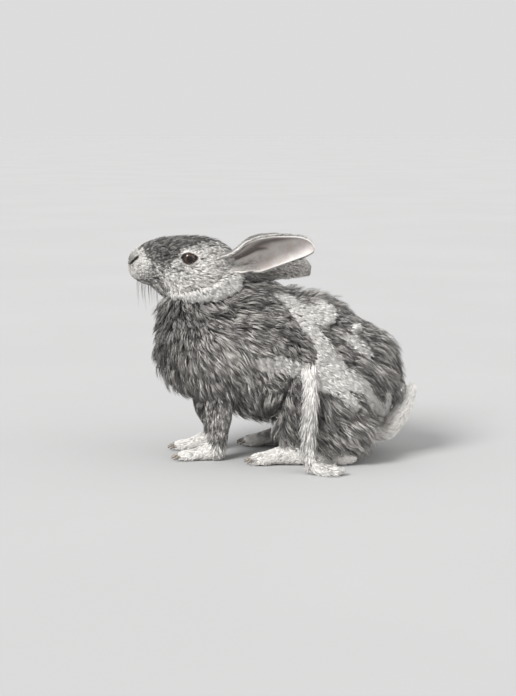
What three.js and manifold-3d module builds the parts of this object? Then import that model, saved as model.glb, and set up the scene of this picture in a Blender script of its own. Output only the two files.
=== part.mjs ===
// An Angora rabbit in moult, sitting on its hind feet with its head up and its ears laid back, life size.
// Millimetres, +Z up, nose towards -X, the left flank towards -Y, the floor at z = 0.
//
// The body is a set of rounded masses of flesh and underwool that flow into one another. Each sub-part is
// a skin drawn over its own masses, and the long coat is added as flat, tapered locks rooted in it.
import * as THREE from 'three';
import { LoftGeometry } from 'three/addons/geometries/LoftGeometry.js';
import { mergeVertices } from 'three/addons/utils/BufferGeometryUtils.js';
import Module from 'manifold-3d';

const wasm = await Module();
wasm.setup();

// Driving sizes
const HEAD_LENGTH = 120; // nose to the back of the cheeks, short coat included
const TRUNK_LENGTH = 262; // breast to rump, under the long coat
const EAR_LENGTH = 104; // root to tip
const EYE_DIAMETER = 17.5;
const HIND_FOOT_LENGTH = 116; // heel to toes
const FOREPAW_LENGTH = 56; // heel of the paw to the toes
const TAIL_RADIUS = 9.5;
const WOOL_WIDTH = 14; // the rope of shed wool that hangs from the left flank
const LOCK_LENGTH = 41;
const LOCK_WIDTH = 20;
const LOCK_THICKNESS = 2;
const LOCK_SPACING = 22; // least distance between the roots of two locks
const LOCK_SEED = 20; // sets where the locks fall
const COAT_RISE = 8.5; // how far the tips of the locks stand off the underwool
const ROOT_DEPTH = 5; // how far a lock is sunk in
const GAP = 0.35; // between touching sub-parts

// Where the sub-parts sit
const HEAD_AT = [-93, 0, 213];
const TRUNK_AT = [6, 0, 110];
const CHEST_END = -42; // planes that part the trunk
const LOIN_END = 62;

// Colours of the real thing
const PALE = 0xd9d4ca;
const GREY = 0x5b5854;
const SKIN_PINK = 0xcdb7ac;
const EYE_BROWN = 0x1f1612;

const v3 = (x, y, z) => new THREE.Vector3(x, y, z);
const radians = THREE.MathUtils.degToRad;
const clamp = THREE.MathUtils.clamp;
const smooth = (low, high, x) => THREE.MathUtils.smoothstep(x, low, high);

// A repeatable draw, so that the locks vary and the part is the same each time.
function makeDraw(seed) {
  let state = seed;
  return () => {
    state = (state * 1664525 + 1013904223) % 4294967296;
    return state / 4294967296;
  };
}

// Rounded masses. A mass has its centre, its half length, half width and half height, and the angle in
// degrees by which it drops towards the tail. One that stands off the middle is there on both sides.
function masses(at, scale, list) {
  return list.map(([x, y, z, long, wide, high, drop = 0]) => ({
    x: at[0] + x * scale,
    y: at[1] + y * scale,
    z: at[2] + z * scale,
    long: long * scale,
    wide: wide * scale,
    high: high * scale,
    cos: Math.cos(radians(drop)),
    sin: Math.sin(radians(drop)),
  }));
}

// About how far a point lies outside one mass.
function outside(m, x, y, z) {
  const dx = x - m.x;
  const dz = z - m.z;
  const along = dx * m.cos - dz * m.sin;
  const up = dx * m.sin + dz * m.cos;
  const side = (m.y === 0 ? y : Math.abs(y)) - m.y;
  const near = Math.hypot(along / m.long, side / m.wide, up / m.high);
  const steep = Math.hypot(along / m.long ** 2, side / m.wide ** 2, up / m.high ** 2);
  return steep < 1e-9 ? -Math.min(m.long, m.wide, m.high) : (near * (near - 1)) / steep;
}

// The same for a list of masses that run into each other over a width of k.
function field(list, k) {
  return (x, y, z) => {
    let best = Infinity;
    for (const m of list) {
      const d = outside(m, x, y, z);
      if (best === Infinity) {
        best = d;
      } else {
        const h = Math.max(k - Math.abs(best - d), 0) / k;
        best = Math.min(best, d) - (h * h * k) / 4;
      }
    }
    return best;
  };
}

const headScale = HEAD_LENGTH / 120;
const headMasses = masses(HEAD_AT, headScale, [
  [9, 0, 0, 45, 27, 28.5, 2], // skull
  [-29, 0, 6.5, 37, 18.5, 21, -9], // face and bridge of the nose
  [-49, 7.5, -5, 15, 10.5, 12.5], // lips and whisker pads
  [-42, 0, -14.5, 16, 9, 8, 10], // chin
  [-18, 0, -16, 34, 14, 14, 8], // lower jaw
  [8, 15, -13, 31, 18, 25, -6], // cheeks
  [-59, 0, 8, 8, 7.5, 9], // nose
  [-1, 17, 15, 17, 8, 7, 4], // brows
]);

const bodyScale = TRUNK_LENGTH / 262;
const bodyMasses = masses(TRUNK_AT, bodyScale, [
  [-88, 0, 12, 46, 44, 54], // breast
  [-68, 30, 2, 36, 24, 42], // shoulders
  [-28, 0, 14, 70, 54, 57, 6], // ribs
  [-24, 0, 50, 54, 34, 30, 16], // withers
  [38, 0, 4, 64, 56, 62, 14], // loin
  [80, 0, -24, 51, 54, 61, 10], // rump
  [-8, 0, -22, 76, 44, 44, 6], // belly
  [-88, 0, 54, 44, 40, 42, -26], // throat
  [-54, 0, 68, 42, 32, 34, 22], // nape
  [54, 48, -50, 48, 28, 48, 24], // haunches
  [16, 46, -72, 26, 19, 24, -20], // knees
  [66, 48, -80, 42, 22, 24, -6], // shanks folded down on the feet
]);

const headField = field(headMasses, 9);
const bodyField = field(bodyMasses, 16);

// The direction in which a field grows fastest.
function slope(f, p) {
  const e = 0.6;
  return v3(
    f(p.x + e, p.y, p.z) - f(p.x - e, p.y, p.z),
    f(p.x, p.y + e, p.z) - f(p.x, p.y - e, p.z),
    f(p.x, p.y, p.z + e) - f(p.x, p.y, p.z - e),
  ).normalize();
}

// Moves a point straight onto the surface of a field.
function settle(f, p) {
  const q = p.clone();
  for (let i = 0; i < 4; i++) {
    q.addScaledVector(slope(f, q), -f(q.x, q.y, q.z));
  }
  return q;
}

// How far a ray runs from a point inside a field to the place where it first comes out.
function reach(f, from, way, level = 0) {
  const value = (t) => f(from.x + way.x * t, from.y + way.y * t, from.z + way.z * t) - level;
  let high = 0;
  while (value(high) < 0 && high < 260) {
    high += 4;
  }
  let low = Math.max(high - 4, 0);
  for (let i = 0; i < 16; i++) {
    const mid = (low + high) / 2;
    if (value(mid) < 0) {
      low = mid;
    } else {
      high = mid;
    }
  }
  return low;
}

// Solids. A geometry as a solid: shared corners are merged and triangles of no area dropped.
function solid(geometry) {
  const bare = new THREE.BufferGeometry()
    .setAttribute('position', geometry.getAttribute('position'))
    .setIndex(geometry.getIndex());
  const merged = mergeVertices(bare, 1e-4);
  const index = merged.index.array;
  const kept = [];
  for (let i = 0; i < index.length; i += 3) {
    const [a, b, c] = [index[i], index[i + 1], index[i + 2]];
    if (a !== b && b !== c && a !== c) {
      kept.push(a, b, c);
    }
  }
  const mesh = new wasm.Mesh({
    numProp: 3,
    vertProperties: new Float32Array(merged.getAttribute('position').array),
    triVerts: new Uint32Array(kept),
  });
  return new wasm.Manifold(mesh);
}

function geometryOf(made) {
  const mesh = made.getMesh();
  const positions = new Float32Array(mesh.numVert * 3);
  for (let i = 0; i < mesh.numVert; i++) {
    positions.set(mesh.vertProperties.subarray(i * mesh.numProp, i * mesh.numProp + 3), i * 3);
  }
  return new THREE.BufferGeometry()
    .setAttribute('position', new THREE.BufferAttribute(positions, 3))
    .setIndex(new THREE.BufferAttribute(new Uint32Array(mesh.triVerts), 1));
}

const joined = (list) => wasm.Manifold.union(list);
const above = (made, z) => made.trimByPlane([0, 0, 1], z);

function largest(made) {
  return made.decompose().reduce((a, b) => (b.volume() > a.volume() ? b : a));
}

// Points over a field, in rings across a straight line from one end of it to the other.
function ringsOver(f, [from, to], rings, sides, level = 0) {
  const axis = to.clone().sub(from).normalize();
  const across = v3(0, 1, 0);
  const other = axis.clone().cross(across).normalize();
  const middle = from.clone().lerp(to, 0.5);
  const back = reach(f, middle, axis.clone().negate(), level);
  const ahead = reach(f, middle, axis, level);
  const sections = [];
  for (let i = 0; i <= rings; i++) {
    const share = (1 - Math.cos((Math.PI * i) / rings)) / 2;
    const place = -back + (back + ahead) * clamp(share, 0.0008, 0.9992);
    const centre = middle.clone().addScaledVector(axis, place);
    const section = [];
    for (let j = 0; j < sides; j++) {
      const angle = (2 * Math.PI * j) / sides;
      const way = across.clone().multiplyScalar(Math.cos(angle)).addScaledVector(other, Math.sin(angle));
      section.push(centre.clone().addScaledVector(way, reach(f, centre, way, level)));
    }
    sections.push(section);
  }
  return sections;
}

const wrap = (...args) => solid(new LoftGeometry(ringsOver(...args), { capStart: true, capEnd: true }));

// A limb, tail or rope: an oval section carried along a curve. sizes gives its half width and half depth
// at each point of the curve, and the half width lies as near to the direction wide as it can.
function limb(points, sizes, steps, sides, wide, grow = 0) {
  const curve = new THREE.CatmullRomCurve3(points.map((p) => v3(...p)));
  const spans = sizes.length - 1;
  const sections = [];
  for (let i = 0; i <= steps; i++) {
    const t = i / steps;
    const span = Math.min(Math.floor(t * spans), spans - 1);
    const part = t * spans - span;
    const half = sizes[span].map((s, k) => s + (sizes[span + 1][k] - s) * part + grow);
    const centre = curve.getPoint(t);
    const run = curve.getTangent(t);
    if (i === steps || i === 0) {
      centre.addScaledVector(run, i === 0 ? -grow : grow);
    }
    const side = wide.clone().addScaledVector(run, -wide.dot(run)).normalize();
    const depth = run.clone().cross(side);
    const section = [];
    for (let j = 0; j < sides; j++) {
      const angle = (2 * Math.PI * j) / sides;
      section.push(centre.clone()
        .addScaledVector(side, half[0] * Math.cos(angle))
        .addScaledVector(depth, half[1] * Math.sin(angle)));
    }
    sections.push(section);
  }
  return solid(new LoftGeometry(sections, { capStart: true, capEnd: true }));
}

// An egg-shaped lump, turned about Z by yaw and before that tipped by pitch, in degrees.
function lump(at, half, yaw = 0, pitch = 0, segments = 12) {
  const geometry = new THREE.SphereGeometry(1, segments, Math.round(segments * 0.66));
  geometry.rotateX(Math.PI / 2);
  geometry.scale(...half);
  geometry.rotateY(radians(pitch));
  geometry.rotateZ(radians(yaw));
  geometry.translate(...at);
  return solid(geometry);
}

// Coat. The way it runs before it is laid on the body: it falls from the throat and breast, trails down and
// back over the flanks, runs to the tail along the spine and parts a little to each side there.
function lie(p) {
  const behind = smooth(-125, -30, p.x);
  const high = smooth(95, 175, p.z);
  return v3(
    0.12 + 0.88 * behind,
    0.35 * high * clamp(p.y / 30, -1, 1),
    -(1 - 0.72 * behind * high),
  );
}

// Where the old coat is shed on a flank and the short pale wool shows: strokes from one point to another in
// the side view, each with its breadth at either end.
const PALE_STROKES = [
  [[-3, 184, 3], [24, 166, 8]], // along the withers
  [[24, 166, 8], [52, 164, 14]], // upper patch
  [[52, 164, 14], [56, 148, 9]],
  [[24, 164, 8], [46, 136, 6]], // strip down from it
  [[46, 136, 7], [56, 116, 12]],
  [[56, 116, 15], [52, 98, 17]], // broad patch over the rope of wool
  [[-20, 116, 3], [16, 111, 9]], // branch along the flank
  [[16, 111, 9], [50, 104, 14]],
  [[60, 102, 15], [94, 84, 9]], // branch to the haunch
  [[74, 142, 4], [86, 134, 5]], // strip on the rump
  [[86, 134, 5], [106, 118, 4]],
  [[88, 153, 5], [89, 152, 5]], // spot
  [[122, 68, 7], [124, 42, 5]], // beside the tail
];

function paleDepth(p) {
  const drop = 0.14 * Math.abs(p.y);
  let best = -Infinity;
  for (const [a, b] of PALE_STROKES) {
    const dx = b[0] - a[0];
    const dz = b[1] - a[1];
    const t = clamp(((p.x - a[0]) * dx + (p.z - drop - a[1]) * dz) / (dx * dx + dz * dz), 0, 1);
    const away = Math.hypot(p.x - a[0] - dx * t, p.z - drop - a[1] - dz * t);
    best = Math.max(best, a[2] + (b[2] - a[2]) * t - away);
  }
  return best;
}

// One lock: a flat blade that leaves the underwool at its root, follows the body, bends with the lie of the
// coat and ends in a point. Its section is a low ridge over a flat back. A lock can be grown to clear it.
function lock(f, seat, grow) {
  const stations = [0, 0.14, 0.56, 1];
  const rise = [-ROOT_DEPTH, seat.rise * 0.26, seat.rise * 0.6, seat.rise];
  const breadth = [0.5, 0.9, 1, 0];
  const depth = [1, 1, 0.85, 0];
  const points = [];
  const ups = [];
  let here = seat.at.clone();
  stations.forEach((s, i) => {
    if (i > 0) {
      const up = slope(f, here);
      const way = lie(here).applyAxisAngle(up, seat.turn * (0.4 + 0.6 * s));
      way.addScaledVector(up, -way.dot(up)).normalize();
      here = settle(f, here.clone().addScaledVector(way, seat.length * (s - stations[i - 1])));
    }
    const up = slope(f, here);
    ups.push(up);
    points.push(here.clone().addScaledVector(up, rise[i]));
  });
  const sections = points.map((p, i) => {
    const run = points[Math.min(i + 1, 3)].clone().sub(points[Math.max(i - 1, 0)]).normalize();
    const side = ups[i].clone().cross(run).normalize();
    const over = run.clone().cross(side);
    const half = (seat.width * breadth[i]) / 2;
    const ridge = LOCK_THICKNESS * depth[i];
    const inner = i < 3 ? (half * ridge) / (half + Math.hypot(half, ridge)) : 1;
    const more = i < 3 ? 1 + grow / inner : 1;
    const centre = i < 3 ? p : p.clone().addScaledVector(run, grow * 5);
    return [[-half, -inner], [half, -inner], [0, ridge - inner]].map(([x, y]) => centre.clone()
      .addScaledVector(side, i < 3 ? x * more : 0)
      .addScaledVector(over, i < 3 ? y * more : 0));
  });
  return solid(new LoftGeometry(sections, { capStart: true }));
}

// Seats for locks, scattered over a field no nearer to one another than LOCK_SPACING.
function seats(f, ends, keep, seed) {
  const draw = makeDraw(seed);
  const candidates = ringsOver(f, ends, 70, 70).flat()
    .map((at) => ({ at, order: draw() }))
    .sort((a, b) => a.order - b.order);
  const taken = [];
  for (const { at } of candidates) {
    if (keep(at) && taken.every((s) => s.at.distanceTo(at) > LOCK_SPACING)) {
      taken.push({
        at,
        length: LOCK_LENGTH * (0.85 + 0.3 * draw()),
        width: LOCK_WIDTH * (0.85 + 0.3 * draw()),
        rise: COAT_RISE * (0.88 + 0.24 * draw()),
        turn: radians(12 * (draw() - 0.5)),
      });
    }
  }
  return taken;
}

const SIDES = [['left', -1], ['right', 1]];

// Head
const headEnds = [v3(HEAD_AT[0] - 66, 0, HEAD_AT[2] + 6), v3(HEAD_AT[0] + 50, 0, HEAD_AT[2] - 4)];
const headCore = (grow) => wrap(headField, headEnds, 22, 20, grow);

// How far out the side of the head lies, level with a place in the side view.
const cheekAt = (x, z) => reach(headField, v3(x, 0, z), v3(0, 1, 0));
const EYE_PLACE = [HEAD_AT[0] + 0.5, HEAD_AT[2] + 8.5];
const eyeOut = cheekAt(...EYE_PLACE) - EYE_DIAMETER * 0.28;
const eyeAt = (side) => [EYE_PLACE[0], side * eyeOut, EYE_PLACE[1]];
const eyeHalf = [1, 0.97, 0.95].map((s) => (s * EYE_DIAMETER) / 2);
const eye = (side, grow) => lump(eyeAt(side), eyeHalf.map((h) => h + grow));

// The rim of the lids: an almond round the eye, laid on the side of the head, its sharper corner behind.
const UPPER_LID = [[-10.5, -1.6], [-6, 4.2], [0, 6.2], [6.5, 4.4], [11.5, 0.6]];
const LOWER_LID = [[6, -4.4], [0, -6.2], [-6, -4.8]];

function lids(side) {
  const points = [...UPPER_LID, ...LOWER_LID].map(([dx, dz]) => {
    const [x, z] = [EYE_PLACE[0] + dx, EYE_PLACE[1] + dz];
    const bulge = Math.max(0, 1.6 - 0.012 * (dx * dx + dz * dz));
    return v3(x, side * (cheekAt(x, z) + bulge), z);
  });
  const extrudePath = new THREE.CatmullRomCurve3(points, true);
  const shape = new THREE.Shape().absellipse(0, 0, 1.5, 1.5, 0, 2 * Math.PI);
  const options = { steps: 14, curveSegments: 2, extrudePath, bevelEnabled: false };
  return solid(new THREE.ExtrudeGeometry(shape, options));
}

// Openings cut in the head: the cleft of the lip, the nostrils and the line of the mouth. The mouth is given
// as directions out from a point in the snout, each at its own height.
const MOUTH = [[-29.5, 1, -9], [-26, 6, -13], [-18, 11, -15], [-8, 14.5, -13.5], [0, 15, -11]];

function faceCuts() {
  const snout = HEAD_AT[0] - 36;
  const cuts = [lump([HEAD_AT[0] - 67, 0, HEAD_AT[2] - 4], [2.4, 0.7, 7], 0, 0, 8)];
  for (const [, side] of SIDES) {
    const [x, z] = [HEAD_AT[0] - 61, HEAD_AT[2] + 5];
    cuts.push(lump([x, side * (cheekAt(x, z) - 0.4), z], [5.2, 2, 1.7], side * 30, -44, 7));
    const line = MOUTH.map(([ahead, across, up]) => {
      const from = v3(snout, 0, HEAD_AT[2] + up);
      const way = v3(ahead, side * across, 0).normalize();
      return from.addScaledVector(way, reach(headField, from, way) - 0.2).toArray();
    });
    const sizes = MOUTH.map((_, i) => (i < MOUTH.length - 1 ? [1.4, 0.8] : [0.5, 0.4]));
    cuts.push(limb(line, sizes, 5, 3, v3(0, side, 0.2)));
  }
  return joined(cuts);
}

// Ears: a trough of skin carried from the root to the tip. Each station gives its place along the ear, its
// half width, and the angles its upper and lower margins are rolled round from the back, in degrees.
const EAR_STATIONS = [
  [0.0, 9, 150, 150],
  [0.08, 11, 150, 145],
  [0.18, 14.5, 140, 118],
  [0.3, 20, 126, 90],
  [0.44, 24, 114, 74],
  [0.58, 25, 104, 66],
  [0.72, 23.5, 92, 60],
  [0.84, 18.5, 80, 54],
  [0.93, 11.5, 66, 48],
  [1.0, 2.5, 50, 40],
];
const EAR_WALL = 2.6;

function ear(points, opening, grow) {
  const root = v3(...points[0]);
  const curve = new THREE.CatmullRomCurve3(points.map((p) => v3(...p).lerp(root, 1 - EAR_LENGTH / 104)));
  const sections = EAR_STATIONS.map(([t, half, upper, lower], i) => {
    const centre = curve.getPoint(t);
    const run = curve.getTangent(t);
    if (i === EAR_STATIONS.length - 1) {
      centre.addScaledVector(run, grow);
    }
    const out = opening.clone().addScaledVector(run, -opening.dot(run)).normalize();
    const across = run.clone().cross(out);
    const up = across.multiplyScalar(Math.sign(across.z));
    const spread = (Math.sin(radians(Math.min(upper, 90))) + Math.sin(radians(Math.min(lower, 90)))) / 2;
    const radius = half / spread;
    const wall = Math.min(EAR_WALL, radius * 0.45);
    const margin = (grow / radius) * (180 / Math.PI);
    const count = 9;
    const arc = (r) => Array.from({ length: count }, (_, j) => {
      const angle = radians(-lower - margin + ((upper + lower + 2 * margin) * j) / (count - 1));
      return centre.clone()
        .addScaledVector(out, -r * Math.cos(angle))
        .addScaledVector(up, r * Math.sin(angle));
    });
    return [...arc(radius + grow), ...arc(Math.max(radius - wall - grow, 0.4)).reverse()];
  });
  // The sections run anticlockwise seen from the tip, whichever ear it is.
  const [a, b, c] = [sections[0][0], sections[0][4], sections[0][8]];
  const turn = b.clone().sub(a).cross(c.clone().sub(b)).dot(curve.getTangent(0));
  const ordered = turn > 0 ? sections : sections.map((section) => section.reverse());
  return solid(new LoftGeometry(ordered, { capStart: true, capEnd: true }));
}

const EARS = {
  left: {
    points: [[-62, -9, 214], [-36, -21, 222], [0, -31, 224.5], [46, -36, 240]],
    opening: v3(0, -1, -0.2),
  },
  right: {
    points: [[-62, 9, 214], [-32, 23, 214], [4, 31, 204], [43, 34, 200]],
    opening: v3(0, 1, -0.6),
  },
};
const earOf = (name, grow) => ear(EARS[name].points, EARS[name].opening, grow);

// Body: one skin, parted into neck, breast, loin, rump and thighs
const bodyEnds = [v3(-118, 0, 166), v3(136, 0, 84)];
const bodyCore = (grow) => wrap(bodyField, bodyEnds, 24, 24, grow);
const NECK_PLANE = [-0.324, 0, 0.946, 184];
const THIGH_ARCH = [[-6, 28], [6, 60], [34, 82], [70, 86], [102, 70], [120, 38]];
const THIGH_INSIDE = 32;

// The block of space that parts a thigh from the trunk: an arch in the side view, carried outwards.
function thighBlock(side, grow) {
  const shape = new THREE.Shape();
  shape.moveTo(THIGH_ARCH[0][0] - grow, -20);
  shape.lineTo(THIGH_ARCH[0][0] - grow, THIGH_ARCH[0][1]);
  const middle = new THREE.Vector2(58, 20);
  const out = THIGH_ARCH.map((p) => {
    const q = new THREE.Vector2(...p);
    return q.add(q.clone().sub(middle).normalize().multiplyScalar(grow));
  });
  shape.splineThru(out.slice(1));
  shape.lineTo(THIGH_ARCH[5][0] + grow, -20);
  const depth = 120;
  const geometry = new THREE.ExtrudeGeometry(shape, { depth, bevelEnabled: false, curveSegments: 2 });
  geometry.rotateX(Math.PI / 2);
  geometry.translate(0, side > 0 ? THIGH_INSIDE - grow + depth : -THIGH_INSIDE + grow, 0);
  return solid(geometry);
}

const halfGap = GAP / 2;
const thighBlocks = joined(SIDES.map(([, side]) => thighBlock(side, halfGap)));
const [nx, ny, nz, neckLevel] = NECK_PLANE;
const trunkOf = (body) => body.trimByPlane([-nx, -ny, -nz], -neckLevel + halfGap).subtract(thighBlocks);
const REGIONS = {
  neck: (body) => body.trimByPlane([nx, ny, nz], neckLevel + halfGap),
  chest: (body) => trunkOf(body).trimByPlane([-1, 0, 0], -CHEST_END + halfGap),
  torso: (body) => trunkOf(body).trimByPlane([1, 0, 0], CHEST_END + halfGap)
    .trimByPlane([-1, 0, 0], -LOIN_END + halfGap),
  rump: (body) => trunkOf(body).trimByPlane([1, 0, 0], LOIN_END + halfGap),
  thigh_left: (body) => body.intersect(thighBlock(-1, -halfGap)),
  thigh_right: (body) => body.intersect(thighBlock(1, -halfGap)),
};

function insideArch(x, z) {
  const arch = THIGH_ARCH;
  if (x < arch[0][0] || x > arch[5][0]) {
    return false;
  }
  const i = arch.findIndex((p) => p[0] > x);
  const [a, b] = [arch[i - 1], arch[i]];
  return z < a[1] + ((b[1] - a[1]) * (x - a[0])) / (b[0] - a[0]);
}

// The sub-part that a point on the body belongs to.
function regionAt(p) {
  if (p.x * nx + p.z * nz > neckLevel) {
    return 'neck';
  }
  if (Math.abs(p.y) > THIGH_INSIDE && insideArch(p.x, p.z)) {
    return p.y < 0 ? 'thigh_left' : 'thigh_right';
  }
  return p.x < CHEST_END ? 'chest' : p.x < LOIN_END ? 'torso' : 'rump';
}

// Legs, feet, tail and the rope of shed wool
const FORELEGS = {
  left: { at: [-60, -29], paw: [-58, -30] },
  right: { at: [-75, 27], paw: [-65, 28] },
};

function foreleg(name, grow) {
  const [x, y] = FORELEGS[name].at;
  const [px, py] = FORELEGS[name].paw;
  const points = [[x - 4, y, 96], [x - 1, y, 72], [x, y, 50], [px - 3, py, 30], [px - 5, py, 8]];
  const sizes = [[20, 15], [19, 14], [16.5, 12.5], [12, 10.5], [11.5, 10]];
  return limb(points, sizes, 8, 12, v3(1, 0, 0), grow).trimByPlane([0, 0, 1], 17 + halfGap - grow);
}

const TOES = [[-1.5, -8.2, -9], [1.5, -2.9, -3], [1.5, 2.9, 3], [-1.5, 8.2, 9]]; // ahead, across, angle

// A claw: a four-sided spike that points to -X and a little down, turned by yaw.
function claw(at, long, radius, yaw) {
  const geometry = new THREE.ConeGeometry(radius, long, 4);
  geometry.rotateZ(Math.PI / 2);
  geometry.rotateY(-0.3);
  geometry.rotateZ(radians(yaw));
  geometry.translate(...at);
  return solid(geometry);
}

// The four toes of a foot, side by side round a place, and their claws. half is the half size of a toe.
function toes(at, spread, half, grow) {
  return TOES.flatMap(([ahead, across, yaw]) => {
    const [x, y] = [at[0] - ahead, at[1] + across * spread];
    const tip = [x - half[0] - 0.5, y - half[0] * Math.sin(radians(-yaw)), half[2] * 0.66];
    return [
      lump([x, y, at[2]], half.map((h) => h + grow), -yaw, -7, 6),
      claw(tip, 9 + grow, half[2] * 0.3 + grow, -yaw),
    ];
  });
}

// A forepaw: wrist, palm, four toes and their claws, flat below. The toes point to -X.
function forepaw(name, grow) {
  const [px, py] = FORELEGS[name].paw;
  const long = FOREPAW_LENGTH / 56;
  const points = [[px + 6, py, 10], [px - 6, py, 12], [px - 20 * long, py, 8], [px - 34 * long, py, 5.5]];
  const sizes = [[6, 8], [10.6, 12.5], [10.8, 9], [10, 5]];
  const palm = limb(points, sizes, 6, 10, v3(0, 1, 0), grow);
  const paw = joined([palm, ...toes([px - 35 * long, py, 5], 1, [14, 4.2, 5.6], grow)]);
  return above(paw, -grow).trimByPlane([0, 0, -1], -17 + halfGap - grow);
}

const HIND_FEET = { left: [0, -53], right: [-9, 51] };

// A hind foot: the long foot from heel to toes with four toes and their claws, flat below.
function hindFoot(name, grow) {
  const [dx, y] = HIND_FEET[name];
  const out = Math.sign(y);
  const long = HIND_FOOT_LENGTH / 116;
  const x = (share) => dx - 27 + share * long;
  const points = [
    [x(117), y + out * 6, 8],
    [x(104), y + out * 5.4, 9],
    [x(76), y + out * 3, 10],
    [x(44), y + out, 11],
    [x(14), y, 6],
  ];
  const sizes = [[4, 4.5], [9, 9.5], [11.5, 11.5], [12.5, 12], [11.5, 7]];
  const sole = limb(points, sizes, 8, 10, v3(0, 1, 0), grow);
  return above(joined([sole, ...toes([x(14.5), y, 6], 1.12, [15, 4.8, 6.6], grow)]), -grow);
}

// The tail leaves low on the rump and turns up.
function tail(grow) {
  const points = [[100, -4, 30], [123, -6, 26], [140, -8, 40], [149, -8, 59], [154, -8, 79]];
  const r = TAIL_RADIUS;
  const sizes = [[r, r], [r * 1.1, r], [r * 1.15, r], [r, r * 0.95], [r * 0.35, r * 0.35]];
  return limb(points, sizes, 10, 12, v3(0, 1, 0), grow);
}

// The rope of shed wool: felted strands that leave the flank, hang off the haunch and curl on the floor.
const ROPE_PATH = [
  [34, -56, 103],
  [37, -76, 96],
  [38, -89, 78],
  [36, -93, 50],
  [36, -95, 22],
  [40, -99, 8],
  [50, -106, 4.2],
  [62, -111, 4.4],
  [72, -110, 6],
];

function woolRope(grow) {
  const half = WOOL_WIDTH / 2;
  const strands = [
    { off: 0, wide: half, thick: 4.6, sides: 7 },
    { off: half * 0.66, wide: half * 0.46, thick: 3.6, sides: 5 },
  ];
  return joined(strands.map(({ off, wide, thick, sides }) => {
    const points = ROPE_PATH.map(([x, y, z], i) => {
      const angle = 2.4 + i * 0.9;
      const spread = off * (i > 6 ? 0.6 : 1);
      return [x + spread * Math.cos(angle), y + spread * 0.5 * Math.sin(angle), z];
    });
    const sizes = ROPE_PATH.map((_, i) => {
      const taper = i === ROPE_PATH.length - 1 ? 0.35 : 1;
      return [wide * taper, thick * taper];
    });
    return limb(points, sizes, 13, sides, v3(1, 0.25, 0.2), grow);
  }));
}

// Every sub-part is cut clear of its neighbours, taken a gap larger.
const body = bodyCore(0);
const bodyRound = bodyCore(GAP);
const headRound = headCore(GAP);
const eyesRound = joined(SIDES.map(([, side]) => eye(side, GAP)));
const earsRound = joined(SIDES.map(([name]) => earOf(name, GAP)));
const feetRound = joined(SIDES.map(([name]) => hindFoot(name, GAP)));
const forelegsRound = joined(SIDES.flatMap(([name]) => [foreleg(name, GAP), forepaw(name, GAP)]));
const ropeRound = above(woolRope(GAP), -GAP);

const bothLids = joined(SIDES.map(([, side]) => lids(side)));
const made = { head: headCore(0).subtract(faceCuts()).add(bothLids).subtract(eyesRound) };
for (const [name, side] of SIDES) {
  made['ear_' + name] = earOf(name, 0).subtract(headRound).subtract(bodyRound);
  made['foreleg_' + name] = foreleg(name, 0).subtract(bodyRound);
  made['forepaw_' + name] = forepaw(name, 0);
  made['hind_foot_' + name] = hindFoot(name, 0);
  made['eye_' + name] = eye(side, 0);
}
made.tail = tail(0).subtract(bodyRound);
made.wool_rope = above(woolRope(0).subtract(bodyRound), 0);

// The locks root all over the body but not where its old coat is shed, in the lap of the head or at the
// floor. The locks of a sub-part give way to the flesh of the others and to the locks already laid.
const keep = (p) => headField(p.x, p.y, p.z) > -9 && p.z > 12 && paleDepth(p) < 2;
const lockSeats = seats(bodyField, bodyEnds, keep, LOCK_SEED);
const covers = joined([headRound, earsRound, feetRound, forelegsRound, tail(GAP), ropeRound]);
let laid = joined([]);
for (const [name, part] of Object.entries(REGIONS)) {
  const own = lockSeats.filter((seat) => regionAt(seat.at) === name);
  const others = bodyRound.subtract(part(bodyRound));
  const locks = joined(own.map((seat) => lock(bodyField, seat, 0)));
  const flesh = above(part(body).subtract(headRound).subtract(feetRound), 1);
  made[name] = above(flesh.add(locks.subtract(others).subtract(covers).subtract(laid)), 1);
  laid = joined([laid, ...own.map((seat) => lock(bodyField, seat, GAP))]);
}

const COLOURS = { ear: SKIN_PINK, eye: EYE_BROWN, forepaw: PALE, hind: PALE, tail: PALE, wool: PALE };
const rabbit = new THREE.Group();
for (const [name, shape] of Object.entries(made)) {
  const color = COLOURS[name.split('_')[0]] ?? GREY;
  const material = new THREE.MeshStandardMaterial({ color, roughness: 0.9 });
  const mesh = new THREE.Mesh(geometryOf(largest(solid(geometryOf(largest(shape))))), material);
  mesh.name = name;
  rabbit.add(mesh);
}

// The origin is under the middle of the whole animal, on the floor.
const span = new THREE.Box3().setFromObject(rabbit);
rabbit.position.set(-(span.min.x + span.max.x) / 2, -(span.min.y + span.max.y) / 2, -span.min.z);

export default rabbit;
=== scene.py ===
# An angora rabbit in moult, life size, sitting up with its ears laid back.
# Sizes are in millimetres, in the frame in which the masses of head and trunk are laid out. placed() turns
# them into the model's metres.
from math import cos, pi, radians, sin

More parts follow.
